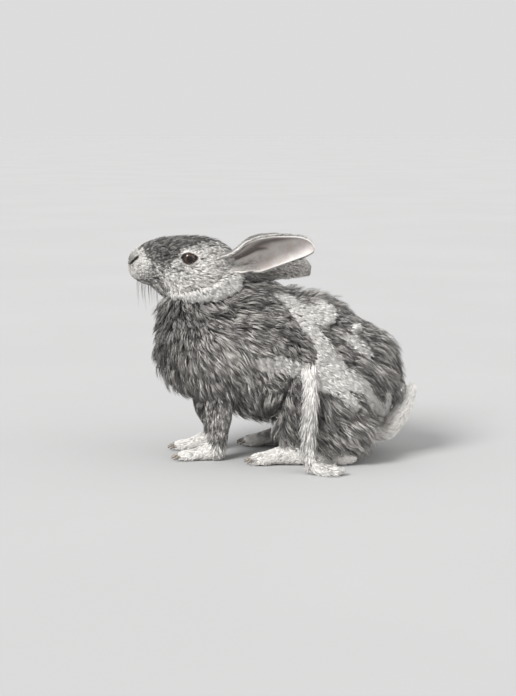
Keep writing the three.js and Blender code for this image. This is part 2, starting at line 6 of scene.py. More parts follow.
import bmesh
import bpy
import numpy as np
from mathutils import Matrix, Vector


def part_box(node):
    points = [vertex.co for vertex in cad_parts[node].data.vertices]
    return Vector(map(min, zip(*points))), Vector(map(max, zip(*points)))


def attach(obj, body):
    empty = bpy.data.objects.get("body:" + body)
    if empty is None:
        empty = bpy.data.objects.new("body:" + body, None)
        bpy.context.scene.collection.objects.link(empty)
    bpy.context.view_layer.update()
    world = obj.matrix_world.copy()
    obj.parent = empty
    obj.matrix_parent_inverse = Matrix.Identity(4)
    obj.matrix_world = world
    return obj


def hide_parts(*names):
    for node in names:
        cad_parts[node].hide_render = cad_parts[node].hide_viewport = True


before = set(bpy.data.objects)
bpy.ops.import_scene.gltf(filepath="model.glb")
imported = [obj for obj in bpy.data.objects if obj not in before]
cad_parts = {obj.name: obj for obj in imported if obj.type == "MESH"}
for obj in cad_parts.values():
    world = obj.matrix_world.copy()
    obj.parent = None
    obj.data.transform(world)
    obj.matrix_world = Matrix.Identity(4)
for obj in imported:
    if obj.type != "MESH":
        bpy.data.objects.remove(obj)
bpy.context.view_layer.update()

# The studio: a plain pale floor that runs on into a background of the same tone, under a broad soft light
# from the upper left. The camera looks at the rabbit's left side from a little above the floor.
EYE_MIDDLE = np.array([-92.5, 0.0, 221.5])  # half way between the eyes, in the frame of the masses
eye_boxes = np.array([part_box("eye_left"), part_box("eye_right")])
SHIFT = eye_boxes.mean(axis=(0, 1)) * 1000 - EYE_MIDDLE


def placed(points):
    """Millimetres in the frame of the masses, as metres in the model."""
    return (np.asarray(points, dtype=float) + SHIFT) * 0.001


VIEW_MIDDLE = np.array([-17.6, 0.0, 119.0])  # the place in the middle of the picture
CAMERA_RISE = radians(8)
CAMERA_FAR = 1.8  # metres
FRAME_HIGH = 0.7656  # what the picture's height takes in at the middle of the animal

camera_data = bpy.data.cameras.new("camera")
camera_data.sensor_fit = "VERTICAL"
camera_data.sensor_height = 36
camera_data.lens = 36 * CAMERA_FAR / FRAME_HIGH
camera = bpy.data.objects.new("camera", camera_data)
camera.location = placed(VIEW_MIDDLE) + CAMERA_FAR * np.array([0, -cos(CAMERA_RISE), sin(CAMERA_RISE)])
camera.rotation_euler = (pi / 2 - CAMERA_RISE, 0, 0)
bpy.context.scene.collection.objects.link(camera)
bpy.context.scene.camera = camera
bpy.context.scene.view_settings.view_transform = "Standard"


def soft_light(name, toward, power, spread):
    """A distant light that comes from that direction, softened over an angle of spread degrees."""
    data = bpy.data.lights.new(name, "SUN")
    data.energy = power
    data.angle = radians(spread)
    lamp = bpy.data.objects.new(name, data)
    x, y, z = toward
    lamp.rotation_euler = (np.arctan2(np.hypot(x, y), z), 0, np.arctan2(x, -y))
    bpy.context.scene.collection.objects.link(lamp)


soft_light("key_light", (-0.50, -0.58, 0.65), 3.95, 24)
soft_light("fill_light", (0.85, -0.30, 0.35), 0.8, 50)



def node(owner, kind, **settings):
    """A new node of a material, world or group. A setting that starts with set_ is a property of the node,
    any other one of its inputs."""
    made = getattr(owner, "node_tree", owner).nodes.new(kind)
    for key, value in settings.items():
        if key.startswith("set_"):
            setattr(made, key[4:], value)
        else:
            made.inputs[key.replace("_", " ")].default_value = value
    return made


def join(output, entry):
    """Links an output of one node to an input of another."""
    output.id_data.links.new(output, entry)


def ramp(owner, *stops):
    """A new ramp between two stops, each a place from 0 to 1 and a colour."""
    made = node(owner, "ShaderNodeValToRGB")
    for stop, (position, colour) in zip(made.color_ramp.elements, stops):
        stop.position = position
        stop.color = (*colour, 1)
    return made


HORIZON = (0.717, 0.717, 0.717)  # the floor's own brightness, so that no line shows where it ends
OVERHEAD = (0.95, 0.95, 0.95)
world = bpy.data.worlds.new("studio")
world.use_nodes = True
sky_place = node(world, "ShaderNodeTexCoord")
sky_height = node(world, "ShaderNodeSeparateXYZ")
sky_tone = ramp(world, (0.12, HORIZON), (0.55, OVERHEAD))
join(sky_place.outputs["Generated"], sky_height.inputs["Vector"])
join(sky_height.outputs["Z"], sky_tone.inputs["Fac"])
join(sky_tone.outputs["Color"], world.node_tree.nodes["Background"].inputs["Color"])
bpy.context.scene.world = world


def new_material(name, rough, **settings):
    """A material with only its Principled shader, and that shader's inputs. A setting is one of them."""
    made = bpy.data.materials.new(name)
    made.use_nodes = True
    inputs = made.node_tree.nodes["Principled BSDF"].inputs
    inputs["Roughness"].default_value = rough
    for key, value in settings.items():
        inputs[key.replace("_", " ")].default_value = value
    return made, inputs


def speckled(material, scale, detail, low, high):
    """A colour that wanders between two by fine noise on the piece's own coordinates."""
    place = node(material, "ShaderNodeTexCoord")
    noise = node(material, "ShaderNodeTexNoise", Scale=scale, Detail=detail)
    between = ramp(material, (0.38, low), (0.62, high))
    join(place.outputs["Object"], noise.inputs["Vector"])
    join(noise.outputs["Fac"], between.inputs["Fac"])
    return between.outputs["Color"]


def surface(name, points, faces, material, turn=True):
    """A smooth mesh object with those corners in millimetres and those faces. turn has the faces turned to
    look outwards, where they may not do so already."""
    mesh = bpy.data.meshes.new(name)
    mesh.from_pydata(placed(points).tolist(), [], np.asarray(faces).tolist())
    if turn:
        work = bmesh.new()
        work.from_mesh(mesh)
        bmesh.ops.recalc_face_normals(work, faces=work.faces)
        work.to_mesh(mesh)
        work.free()
    mesh.materials.append(material)
    mesh.polygons.foreach_set("use_smooth", np.ones(len(mesh.polygons), dtype=bool))
    made = bpy.data.objects.new(name, mesh)
    bpy.context.scene.collection.objects.link(made)
    return made


FLOOR_REACH = 30000.0
FLOOR_CORNERS = 96
floor_paint, floor_inputs = new_material("floor_paint", 0.9, Specular_IOR_Level=0.0)
floor_tone = speckled(floor_paint, 2.0, 2.0, (0.390, 0.390, 0.388), (0.400, 0.400, 0.398))
join(floor_tone, floor_inputs["Base Color"])
around = np.linspace(0, 2 * pi, FLOOR_CORNERS, endpoint=False)
disc = FLOOR_REACH * np.stack([np.cos(around), np.sin(around), 0 * around], axis=1)
floor = surface("floor", disc - SHIFT * [0, 0, 1], [np.arange(FLOOR_CORNERS)], floor_paint)

# The flesh of head and body: rounded masses of skull, muzzle, cheeks, breast, ribs, loin and haunches that
# run into one another. Each row is centre, half length, half width, half height and drop to the tail.
HEAD_AT = np.array([-93.0, 0.0, 213.0])
HEAD_MASSES = [
    (9, 0, 0, 45, 27, 28.5, 2),  # skull
    (-28.5, 0, 6.5, 35, 18.5, 21, -9),  # face and bridge of the nose
    (-50.5, 6.5, -6, 15.5, 10.5, 12.5, 0),  # lips and whisker pads
    (-42, 0, -14.5, 16, 9, 8, 10),  # chin
    (-18, 0, -16, 34, 14, 14, 8),  # lower jaw
    (8, 15, -13, 31, 18, 25, -6),  # cheeks
    (-57, 0, 5, 7, 7, 7.5, 0),  # nose
    (-1, 17, 15, 17, 8, 7, 4),  # brows
]
TRUNK_AT = np.array([6.0, 0.0, 110.0])
TRUNK_MASSES = [
    (-88, 0, 12, 46, 44, 54, 0),  # breast
    (-68, 30, 2, 36, 24, 42, 0),  # shoulders
    (-28, 0, 14, 70, 54, 57, 6),  # ribs
    (-24, 0, 50, 54, 34, 30, 16),  # withers
    (38, 0, 4, 64, 56, 62, 14),  # loin
    (80, 0, -24, 51, 54, 61, 10),  # rump
    (-8, 0, -22, 76, 44, 44, 6),  # belly
    (-88, 0, 54, 44, 40, 42, -26),  # throat
    (-54, 0, 68, 42, 32, 34, 22),  # nape
    (54, 48, -50, 48, 28, 48, 24),  # haunches
    (16, 46, -72, 26, 19, 24, -20),  # knees
    (66, 48, -80, 42, 22, 24, -6),  # shanks folded down on the feet
    (12, 36, -30, 22, 14, 30, 0),  # folds of skin that fill the flanks before the thighs
]


def swell(points, at, rows, blend):
    """How far points lie outside a set of egg-shaped masses. For one egg it is k0 (k0 - 1) / k1, where k0
    is the distance in units of the egg and k1 its slope. A smooth minimum of width blend joins the eggs."""
    best = None
    for x, y, z, long, wide, high, drop in rows:
        ahead = points[..., 0] - at[0] - x
        over = points[..., 2] - at[2] - z
        side = (np.abs(points[..., 1]) if y else points[..., 1]) - y
        along = ahead * cos(radians(drop)) - over * sin(radians(drop))
        up = ahead * sin(radians(drop)) + over * cos(radians(drop))
        near = np.sqrt((along / long) ** 2 + (side / wide) ** 2 + (up / high) ** 2)
        steep = np.sqrt((along / long**2) ** 2 + (side / wide**2) ** 2 + (up / high**2) ** 2)
        egg = near * (near - 1) / np.maximum(steep, 1e-9)
        if best is None:
            best = egg
        else:
            share = np.maximum(blend - np.abs(best - egg), 0) / blend
            best = np.minimum(best, egg) - share**2 * blend / 4
    return best


def ease(low, high, x):
    """A smooth step from 0 at low to 1 at high: 3 t^2 - 2 t^3."""
    t = np.clip((x - low) / (high - low), 0, 1)
    return t * t * (3 - 2 * t)


def bell(*off):
    """exp(-d^2), where d is the distance from the middle of a spot, in units of its own size each way."""
    return np.exp(sum(-(x**2) for x in off))


def unit(v):
    """Vectors over their own length."""
    return v / np.maximum(np.linalg.norm(v, axis=-1, keepdims=True), 1e-12)


def head_coat(p):
    """Depth of the coat on the head: thin on the muzzle, deeper behind the eyes and deepest low on the
    cheeks, each by a smooth step along the head."""
    ruff = ease(-118, -75, p[..., 0]) * ease(222, 192, p[..., 2])
    return 1.1 + 2.3 * ease(-150, -112, p[..., 0]) + 2.8 * ruff


BODY_COAT = 7.0  # from the skin to the surface of the underwool


HEAD_BLEND = 9.0  # how widely two masses run into each other
BODY_BLEND = 16.0


def head_skin(p):
    """How far places lie outside the skin of the head: the masses, less the coat's depth."""
    return swell(p, HEAD_AT, HEAD_MASSES, HEAD_BLEND) + head_coat(p)


def body_skin(p):
    """How far places lie outside the skin of the trunk."""
    return swell(p, TRUNK_AT, TRUNK_MASSES, BODY_BLEND) + BODY_COAT


def reach(shape, start, way, far=180):
    """How far rays run from inside a shape to where they first come out: steps of 4 mm, then bisection."""
    low = np.zeros(way.shape[:-1])
    inside = np.ones(way.shape[:-1], dtype=bool)
    for t in np.arange(4, far, 4.0):
        inside &= shape(start + way * t) < 0
        low = np.where(inside, t, low)
    high = low + 4
    for _ in range(12):
        middle = (low + high) / 2
        within = shape(start + way * middle[..., None]) < 0
        low, high = np.where(within, middle, low), np.where(within, high, middle)
    return low


def quads_of(m, s):
    """Four-sided faces between m rings of s corners each."""
    i, j = np.meshgrid(np.arange(m - 1), np.arange(s), indexing="ij")
    a, b = i * s + j, i * s + (j + 1) % s
    return np.stack([a, b, b + s, a + s], axis=-1).reshape(-1, 4)


def closed(sections):
    """Corners and faces of the surface through sections (m, s, 3), with a fan to its middle at each end."""
    m, s = sections.shape[:2]
    points = np.concatenate([sections.reshape(-1, 3), sections[:1].mean(axis=1), sections[-1:].mean(axis=1)])
    quads = quads_of(m, s)
    ring = np.arange(s)
    start = np.stack([(ring + 1) % s, ring, np.full(s, m * s)], axis=1)
    end = np.stack([(m - 1) * s + ring, (m - 1) * s + (ring + 1) % s, np.full(s, m * s + 1)], axis=1)
    return points, np.concatenate([quads[:, [0, 1, 2]], quads[:, [0, 2, 3]], start, end])


ACROSS = np.array([0.0, 1.0, 0.0])


def wrap(shape, start, end, rings, sides):
    """A surface drawn over a shape: rays from a straight line through it, in rings across that line. The
    rings crowd together at both ends, as (1 - cos(pi t)) / 2."""
    start, end = np.array(start, dtype=float), np.array(end, dtype=float)
    axis = unit(end - start)
    other = unit(np.cross(axis, ACROSS))
    middle = (start + end) / 2
    back, ahead = reach(shape, middle, np.stack([-axis, axis]))
    share = (1 - np.cos(pi * np.linspace(0, 1, rings + 1))) / 2
    place = -back + (back + ahead) * np.clip(share, 0.0008, 0.9992)
    angle = 2 * pi * np.arange(sides) / sides
    way = ACROSS * np.cos(angle)[:, None] + other * np.sin(angle)[:, None]
    ways = np.broadcast_to(way, (rings + 1, sides, 3))
    centres = np.broadcast_to((middle + axis * place[:, None])[:, None], ways.shape)
    return closed(centres + ways * reach(shape, centres, ways)[..., None])


def spline(points, at):
    """Smooth curve through points, at shares 0 to 1 of its spans. In the span from b to c it is the cubic
    whose slope at b is (c - a) / 2 and at c is (d - b) / 2."""
    points = np.asarray(points, dtype=float)
    ends = np.concatenate([2 * points[:1] - points[1:2], points, 2 * points[-1:] - points[-2:-1]])
    place = np.clip(at, 0, 1) * (len(points) - 1)
    span = np.minimum(place.astype(int), len(points) - 2)
    t = (place - span)[:, None]
    a, b, c, d = (ends[span + k] for k in range(4))
    return 0.5 * (2 * b + (c - a) * t + (2 * a - 5 * b + 4 * c - d) * t**2 + (3 * b - a - 3 * c + d) * t**3)


def limb_rings(path, sizes, wide, steps, sides, less=0.0):
    """Oval rings carried along a curve, square to it, each with its half width and half depth between the
    sizes given, made less by so much."""
    at = np.linspace(0, 1, steps + 1)
    centre = spline(path, at)
    run = unit(spline(path, at + 0.01) - spline(path, at - 0.01))
    half = np.stack([np.interp(at, np.linspace(0, 1, len(sizes)), [s[k] for s in sizes]) for k in (0, 1)])
    half = np.maximum(half - less, 1.0)
    side = unit(wide - run * (run @ wide)[:, None])
    depth = np.cross(run, side)
    angle = 2 * pi * np.arange(sides) / sides
    return centre[:, None] + (
        side[:, None] * np.cos(angle)[:, None] * half[0][:, None, None]
        + depth[:, None] * np.sin(angle)[:, None] * half[1][:, None, None]
    )


def egg(at, half, pitch=0.0, yaw=0.0, rings=14, sides=18):
    """A closed egg with those half sizes, tipped by pitch and then turned by yaw, in degrees."""
    v, u = np.meshgrid(
        pi * (np.arange(rings) + 0.5) / rings, 2 * pi * np.arange(sides) / sides, indexing="ij"
    )
    p = np.stack([np.cos(v), np.sin(v) * np.cos(u), np.sin(v) * np.sin(u)], axis=-1) * half
    c, s = cos(radians(pitch)), sin(radians(pitch))
    p = np.stack([p[..., 0] * c + p[..., 2] * s, p[..., 1], p[..., 2] * c - p[..., 0] * s], axis=-1)
    c, s = cos(radians(yaw)), sin(radians(yaw))
    p = np.stack([p[..., 0] * c - p[..., 1] * s, p[..., 0] * s + p[..., 1] * c, p[..., 2]], axis=-1)
    return closed(p + at)


# Legs, feet and tail. The forelegs stand straight down from the breast, the hind feet lie along the floor
# from heel to toes, and the tail turns up behind. Each limb: path, half sizes, broad side, coat depth.
LENGTHWISE = np.array([1.0, 0.0, 0.0])
LIMBS = {}
for name, (x, y), (px, py) in [("left", (-60, -29), (-58, -30)), ("right", (-75, 27), (-65, 28))]:
    LIMBS["foreleg_" + name] = (
        [(x - 4, y, 96), (x - 1, y, 72), (x, y, 50), (px - 3, py, 30), (px - 5, py, 8)],
        [(20, 15), (19, 14), (16.5, 12.5), (12, 10.5), (11.5, 10)],
        LENGTHWISE,
        3.4,
    )
    LIMBS["forepaw_" + name] = (
        [(px + 6, py, 10), (px - 6, py, 12), (px - 20, py, 8), (px - 34, py, 5.5)],
        [(6, 8), (10.6, 12.5), (10.8, 9), (10, 5)],
        ACROSS,
        1.5,
    )
for name, dx, y in [("left", 0, -53), ("right", -9, 51)]:
    out = np.sign(y)
    heel = [(dx + 90, y + out * 6, 8), (dx + 77, y + out * 5.4, 9), (dx + 49, y + out * 3, 10)]
    LIMBS["hind_foot_" + name] = (
        heel + [(dx + 17, y + out, 11), (dx - 13, y, 6)],
        [(4, 4.5), (9, 9.5), (11.5, 11.5), (12.5, 12), (11.5, 7)],
        ACROSS,
        1.8,
    )
LIMBS["tail"] = (
    [(100, -4, 32), (120, -6, 27), (133.5, -8, 40), (143.5, -8, 57), (150.5, -8, 75)],
    [(9.5, 9.5), (11.6, 10.5), (11.6, 10), (10.4, 9.5), (7.2, 7.2)],
    ACROSS,
    5.0,
)
TOES = []  # middle, half sizes and how far each is turned outwards
for at, half, spread in [
    ((-93, -30, 5), (14, 4.2, 5.6), 1.0),
    ((-100, 28, 5), (14, 4.2, 5.6), 1.0),
    ((-12.5, -53, 6), (15, 4.8, 6.6), 1.12),
    ((-21.5, 51, 6), (15, 4.8, 6.6), 1.12),
]:
    for ahead, across, yaw in [(-1.5, -8.2, -9), (1.5, -2.9, -3), (1.5, 2.9, 3), (-1.5, 8.2, 9)]:
        TOES.append(((at[0] - ahead, at[1] + across * spread, at[2]), half, yaw))

# The skin: one closed surface over head, body, legs, feet and tail, under the coat. The masses are fused,
# the joins worked smooth, and the mesh made finer on the face, where lips and nostrils are pressed in.
SKIN_GRAIN = 0.0021  # metres
HEAD_AXIS = ((-159, 0, 219), (-43, 0, 209))
BODY_AXIS = ((-118, 0, 166), (136, 0, 84))
TOE_COAT = 1.1
TOE_DROOP = -7  # degrees
flesh = [
    wrap(head_skin, *HEAD_AXIS, 90, 72),
    wrap(body_skin, *BODY_AXIS, 110, 96),
]
for path, sizes, wide, depth in LIMBS.values():
    flesh.append(closed(limb_rings(path, sizes, wide, 40, 28, depth)))
for at, half, yaw in TOES:
    flesh.append(egg(at, np.array(half) - TOE_COAT, TOE_DROOP, -yaw))


def joined(pieces):
    """One list of corners and one of triangles for several."""
    starts = np.cumsum([0] + [len(points) for points, _ in pieces[:-1]])
    faces = [faces + start for (_, faces), start in zip(pieces, starts)]
    return np.concatenate([points for points, _ in pieces]), np.concatenate(faces)


skin_paint, skin_inputs = new_material("skin", 0.62)
skin = surface("skin", *joined(flesh), skin_paint)
fuse = skin.modifiers.new("fuse", "REMESH")
fuse.mode = "VOXEL"
fuse.voxel_size = SKIN_GRAIN
calm = skin.modifiers.new("calm", "SMOOTH")
calm.factor = 0.5
calm.iterations = 7
fused = bpy.data.meshes.new_from_object(skin.evaluated_get(bpy.context.evaluated_depsgraph_get()))
skin.modifiers.clear()
old = skin.data
skin.data = fused
bpy.data.meshes.remove(old)


def read(items, name, kind=float):
    """The three numbers that each item of a mesh holds under that name."""
    flat = np.empty(len(items) * 3, dtype=kind)
    items.foreach_get(name, flat)
    return flat.reshape(-1, 3)


def corners(mesh):
    """A mesh's corners, in millimetres in the frame of the masses."""
    return read(mesh.vertices, "co") * 1000 - SHIFT


def refine(mesh, where):
    """Cuts once across every edge whose middle is where asked."""
    work = bmesh.new()
    work.from_mesh(mesh)
    ends = np.array([[v.co[:] for v in e.verts] for e in work.edges])
    pick = where(ends.mean(axis=1) * 1000 - SHIFT)
    chosen = [e for e, yes in zip(work.edges, pick) if yes]
    bmesh.ops.subdivide_edges(work, edges=chosen, cuts=1, use_grid_fill=True, smooth=0.2)
    bmesh.ops.triangulate(work, faces=[f for f in work.faces if len(f.verts) > 4])
    work.to_mesh(mesh)
    work.free()


# Where the eyes sit, and the almond opening of their lids. Round it the skin rises over the ball.
EYE_WIDE = 17.5
EYE_HALF = np.array([1.0, 0.97, 0.95]) * EYE_WIDE / 2
EYE_DEEP = 0.28 * EYE_WIDE  # the ball's middle lies so far under the outside of the head
EYE_SEAT = EYE_MIDDLE + [1.2, 0, -1.3]
head_half = reach(lambda p: swell(p, HEAD_AT, HEAD_MASSES, HEAD_BLEND), EYE_SEAT, ACROSS[None])
EYE_AT = EYE_SEAT + ACROSS * head_half - ACROSS * EYE_DEEP
LID_OPENING = [
    (-8.2, 0.3), (-6.3, 3.7), (-1.2, 5.6), (4.0, 4.2), (8.5, 0.1), (5.0, -3.3), (0.6, -5.6), (-4.6, -4.2),
    (-8.2, 0.3),
]
LID_MOUND = 2.2  # height of the soft mound round the opening
LID_TURNS = 72
LID_EDGE = spline(LID_OPENING, np.arange(LID_TURNS) / LID_TURNS)


def from_lids(p):
    """How far places lie from the middle of an eye's opening, over the opening's own reach in that direction:
    1 on its edge, and 9 away from the sides of the head."""
    x, z = p[..., 0] - EYE_AT[0], p[..., 2] - EYE_AT[2]
    turn = np.arctan2(LID_EDGE[:, 1], LID_EDGE[:, 0])
    order = np.argsort(turn)
    edge = np.interp(np.arctan2(z, x), turn[order], np.hypot(*LID_EDGE[order].T), period=2 * pi)
    return np.where((np.abs(p[..., 1]) > 10) & (p[..., 2] > 196), np.hypot(x, z) / edge, 9.0)


def orbit(p, wall):
    """How far the lids stand out sideways over plain skin whose |y| is wall: it is
    (a + b + sqrt((a - b)^2 + 1)) / 2, with a the ball's height over that skin and b a low mound round it."""
    x, z = (p[..., 0] - EYE_AT[0]) / EYE_HALF[0], (p[..., 2] - EYE_AT[2]) / EYE_HALF[2]
    room = 1 - x**2 - z**2
    ball = EYE_AT[1] - wall + EYE_HALF[1] * (np.sqrt(np.maximum(room, 0)) - 2 * np.maximum(-room, 0))
    out = from_lids(p)
    mound = LID_MOUND * bell((out - 1.1) / 0.5)
    return (ball + mound + np.sqrt((ball - mound) ** 2 + 1)) / 2 * ease(2.4, 1.7, out)


refine(fused, lambda p: (p[:, 0] < -112) & (p[:, 2] > 182))  # the face before the eyes
refine(fused, lambda p: (p[:, 0] < -138) & (p[:, 2] > 190))  # nose and lips
refine(fused, lambda p: from_lids(p) < 2.5)
refine(fused, lambda p: from_lids(p) < 1.8)


def right_side(p):
    """Places on the left turned over to the right, where y is more than 0."""
    return np.where([False, True, False], np.abs(p), p)


def from_line(p, line):
    """Distance of places on either side of the head to a line of points given for its right side."""
    q = right_side(p)
    best = np.full(len(p), 1e9)
    for a, b in zip(line[:-1], line[1:]):
        t = np.clip(((q - a) @ (b - a)) / ((b - a) @ (b - a)), 0, 1)
        best = np.minimum(best, np.linalg.norm(q - a - t[:, None] * (b - a), axis=1))
    return best


def on_head(rows):
    """Points of the skin of the head, found by rays from inside its muzzle: rows of the angle from straight
    ahead, in degrees, and the height where the ray comes out."""
    angle, height = np.asarray(rows, dtype=float).T
    angle = np.radians(angle)
    start = np.stack([0 * height - 129, 0 * height, height], axis=1)
    way = np.stack([-np.cos(angle), np.sin(angle), 0 * angle], axis=1)
    return start + way * reach(head_skin, start, way)[:, None]


MOUTH = on_head([(2, 202), (13, 198), (31, 195.5), (61, 196.5), (90, 199)])
NOSTRIL = on_head([(15, 211.6), (20, 213.2), (26, 216.6), (32, 220)])
CLEFT = on_head([(0, 203.5), (0, 208), (5, 210.5), (12, 212)])
GROOVES = [(MOUTH, 1.2, 1.7), (NOSTRIL, 1.5, 3.2), (CLEFT, 0.9, 1.4)]  # line, breadth, depth
UNDER_LIDS = 0.45  # the skin lies this far under the lids
UNDER_BALL = 2.2  # and is pressed in by this much behind the ball
LOWEST_SKIN = 0.8

# For each groove depth * exp(-(distance / breadth)^2) is pressed in. Under the ball the skin is pressed in as
# well, and round the opening it rises to just under the lids.
points = corners(fused)
on_face = points[:, 0] < -70
bells = [on_face * bell(from_line(points, line) / broad) for line, broad, _ in GROOVES]
bare = np.max(bells, axis=0)
pressed = sum(share * depth for share, (_, _, depth) in zip(bells, GROOVES))
from_eye = from_lids(points)
on_lid = ease(0.98, 1.12, from_eye)
raised = on_lid * (orbit(points, np.abs(points[:, 1])) - UNDER_LIDS * ease(2.4, 1.7, from_eye))
raised = raised - UNDER_BALL * (1 - on_lid)
points = points - read(fused.vertex_normals, "vector") * pressed[:, None]
points[:, 1] += np.sign(points[:, 1]) * raised
points[:, 2] = np.maximum(points[:, 2], LOWEST_SKIN)
fused.vertices.foreach_set("co", placed(points).ravel())
fused.update()
bpy.context.view_layer.update()
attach(skin, "root")
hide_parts("head", "neck", "chest", "torso", "rump", "thigh_left", "thigh_right")
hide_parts("foreleg_left", "foreleg_right", "forepaw_left", "forepaw_right")
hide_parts("hind_foot_left", "hind_foot_right", "tail")

# The markings, the same on skin and coat. The rabbit is in moult: on each flank the old smoke-grey coat is
# shed in strokes and patches where short off-white wool shows, and face, feet and tail are pale as well.
PALE_STROKES = [  # from one place in the side view to another, each with its breadth
    (-3, 183, 2.5, 8, 176, 4),
    (8, 176, 4, 22, 163, 6),
    (20, 162, 6, 46, 159, 11),
    (48, 163, 9, 56, 157, 9),
    (26, 157, 7, 33, 143, 5.5),
    (33, 144, 5.5, 45, 132, 6),
    (45, 132, 6, 54, 116, 10),
    (54, 116, 10, 58, 100, 16),
    (58, 100, 16, 60, 88, 16),
    (44, 90, 12, 82, 84, 10),
    (82, 86, 9, 104, 71, 5),
    (104, 71, 4, 126, 42, 5),
    (70, 80, 8, 80, 64, 5),
    (80, 64, 5, 89, 56, 4),
    (124, 72, 2, 126, 44, 6),
    (-22, 106, 4, -4, 103, 9),
    (-4, 103, 9, 14, 102, 9),
    (14, 101, 8, 30, 95, 8),
    (30, 95, 8, 50, 92, 10),
    (71, 136, 2.5, 82, 130, 5),
    (82, 130, 5, 104, 113, 2),
    (86, 144, 3, 91, 142, 3),
    (-110, 182, 4, -90, 183, 10),  # the cheek ruff, where it lies over the throat
    (-90, 183, 10, -64, 186, 11),
    (-64, 186, 11, -47, 193, 10),
]
FAR_FLANK_BACK = 8.0  # the far flank is shed this much further back, and a little lower
FAR_FLANK_LOW = 0.94
RAGGED = 1.1  # how far the patches' edges wander


def side_view(p):
    """Where places show from the rabbit's own side: a place is spread from the middle of the view by one and
    its |y| in 1.8 metres, and sinks by |y| times the tangent of the 8 degrees from which it is seen."""
    off = np.abs(p[:, 1])
    near = 1 + off / (CAMERA_FAR * 1000)
    x = VIEW_MIDDLE[0] + (p[:, 0] - VIEW_MIDDLE[0]) * near
    z = VIEW_MIDDLE[2] + (p[:, 2] - VIEW_MIDDLE[2] - np.tan(CAMERA_RISE) * off) * near
    return x, z


COAT_DEPTH = 8.0  # the markings are laid out on the outside of the coat, this far from the skin


def shed(p):
    """How deep a place lies inside the shed patches, in millimetres: for each stroke its breadth there less
    the distance from its middle line, the most of all strokes, and two crossing waves for a ragged edge."""
    x, z = side_view(p)
    far = p[:, 1] > 0
    x = x - FAR_FLANK_BACK * far
    z = np.where(far, z / FAR_FLANK_LOW, z)
    best = np.full(len(p), -99.0)
    for ax, az, aw, bx, bz, bw in PALE_STROKES:
        t = ((x - ax) * (bx - ax) + (z - az) * (bz - az)) / ((bx - ax) ** 2 + (bz - az) ** 2)
        t = np.clip(t, 0, 1)
        away = np.hypot(x - ax - (bx - ax) * t, z - az - (bz - az) * t)
        best = np.maximum(best, aw + (bw - aw) * t - away)
    ragged = np.sin(p[:, 0] * 0.71 + 0.3 * p[:, 1]) + np.sin(p[:, 2] * 0.63 - p[:, 0] * 0.37 + 1.7)
    return best + RAGGED * ragged


# The grey is paler or darker in broad spots. Some are the coat's own markings; the darker spots on the
# breast, throat, between the forelegs, on the belly and at the edge of the rump are painted shade.
SMOKE_AND_SHADE = [  # places in the side view, their breadth and height, and how much paler or darker the grey is
    (-50, 120, 36, 30, 0.95),  # shoulder
    (-20, 96, 26, 20, 0.40),  # elbow
    # painted shade on the breast, under the head
    (-122, 130, 17, 42, -0.45),  # breast
    # painted shadow under the jaw
    (-106, 160, 24, 9, -0.40),  # throat
    # painted shade between the forelegs
    (-92, 78, 20, 13, -0.30),  # between the forelegs
    # painted shade under the belly
    (0, 60, 34, 14, -0.15),  # belly
    (-30, 192, 26, 9, -0.35),  # nape
    (30, 184, 18, 8, -0.45),  # withers
    (52, 56, 20, 16, -0.20),  # knee
    (96, 28, 40, 16, 0.95),  # low on the haunch
    (110, 118, 16, 30, 0.15),  # rump
    # painted shade where the rump turns away
    (140, 112, 9, 34, -0.30),  # edge of the rump
    (-58, 30, 18, 26, 0.35),  # near foreleg
]


def smoke_and_shade(p):
    """How pale the grey is at each place, about a middle of 1, partly the coat's own grey and partly painted
    shade: one and the sum of share * exp(-d^2), where d is the distance from each spot in units of its
    own size."""
    x, z = side_view(p)
    return 1 + sum(share * bell((x - a) / w, (z - b) / h) for a, b, w, h, share in SMOKE_AND_SHADE)


CAP_EDGE = [  # the lower edge of the dark cap, from the nose to the ears
    (-165, 224), (-152, 229), (-146, 230), (-141, 225), (-138, 219.5), (-132, 214.5), (-124, 212.5),
    (-117, 214), (-110, 219), (-106, 225.5), (-98, 230), (-82, 233), (-65, 234), (-50, 228),
]
# Grey smudges on the face. Those along the jaw and on the throat are painted shade under the jaw.
FACE_SMUDGES_AND_SHADE = [  # place, half length, half height, slope and share of grey
    (-119, 207.5, 14, 5, -0.05, 0.42),  # under the cap, toward the nose
    (-100, 207.5, 7, 2.2, -0.55, 0.45),  # under the eye
    (-127, 195.5, 5.5, 4.5, -0.9, 0.60),  # behind the lips
    # painted shade along the jaw
    (-104, 187.5, 13, 2.6, -0.63, 0.48),  # along the jaw
    # painted shadow on the throat, under the jaw
    (-126, 183, 12, 5, -0.9, 0.75),  # throat
    (-146, 193, 9, 3, -0.5, 0.45),  # chin
    (-156, 217, 6, 7, 0.3, 0.58),  # nose
]
# A dark line where the ear's root meets the head: painted shade in that crease.
EAR_CREASE_SHADE = np.array([(-53, 19, 230), (-57.5, 22, 220), (-57, 24, 210), (-52, 25, 203)], dtype=float)


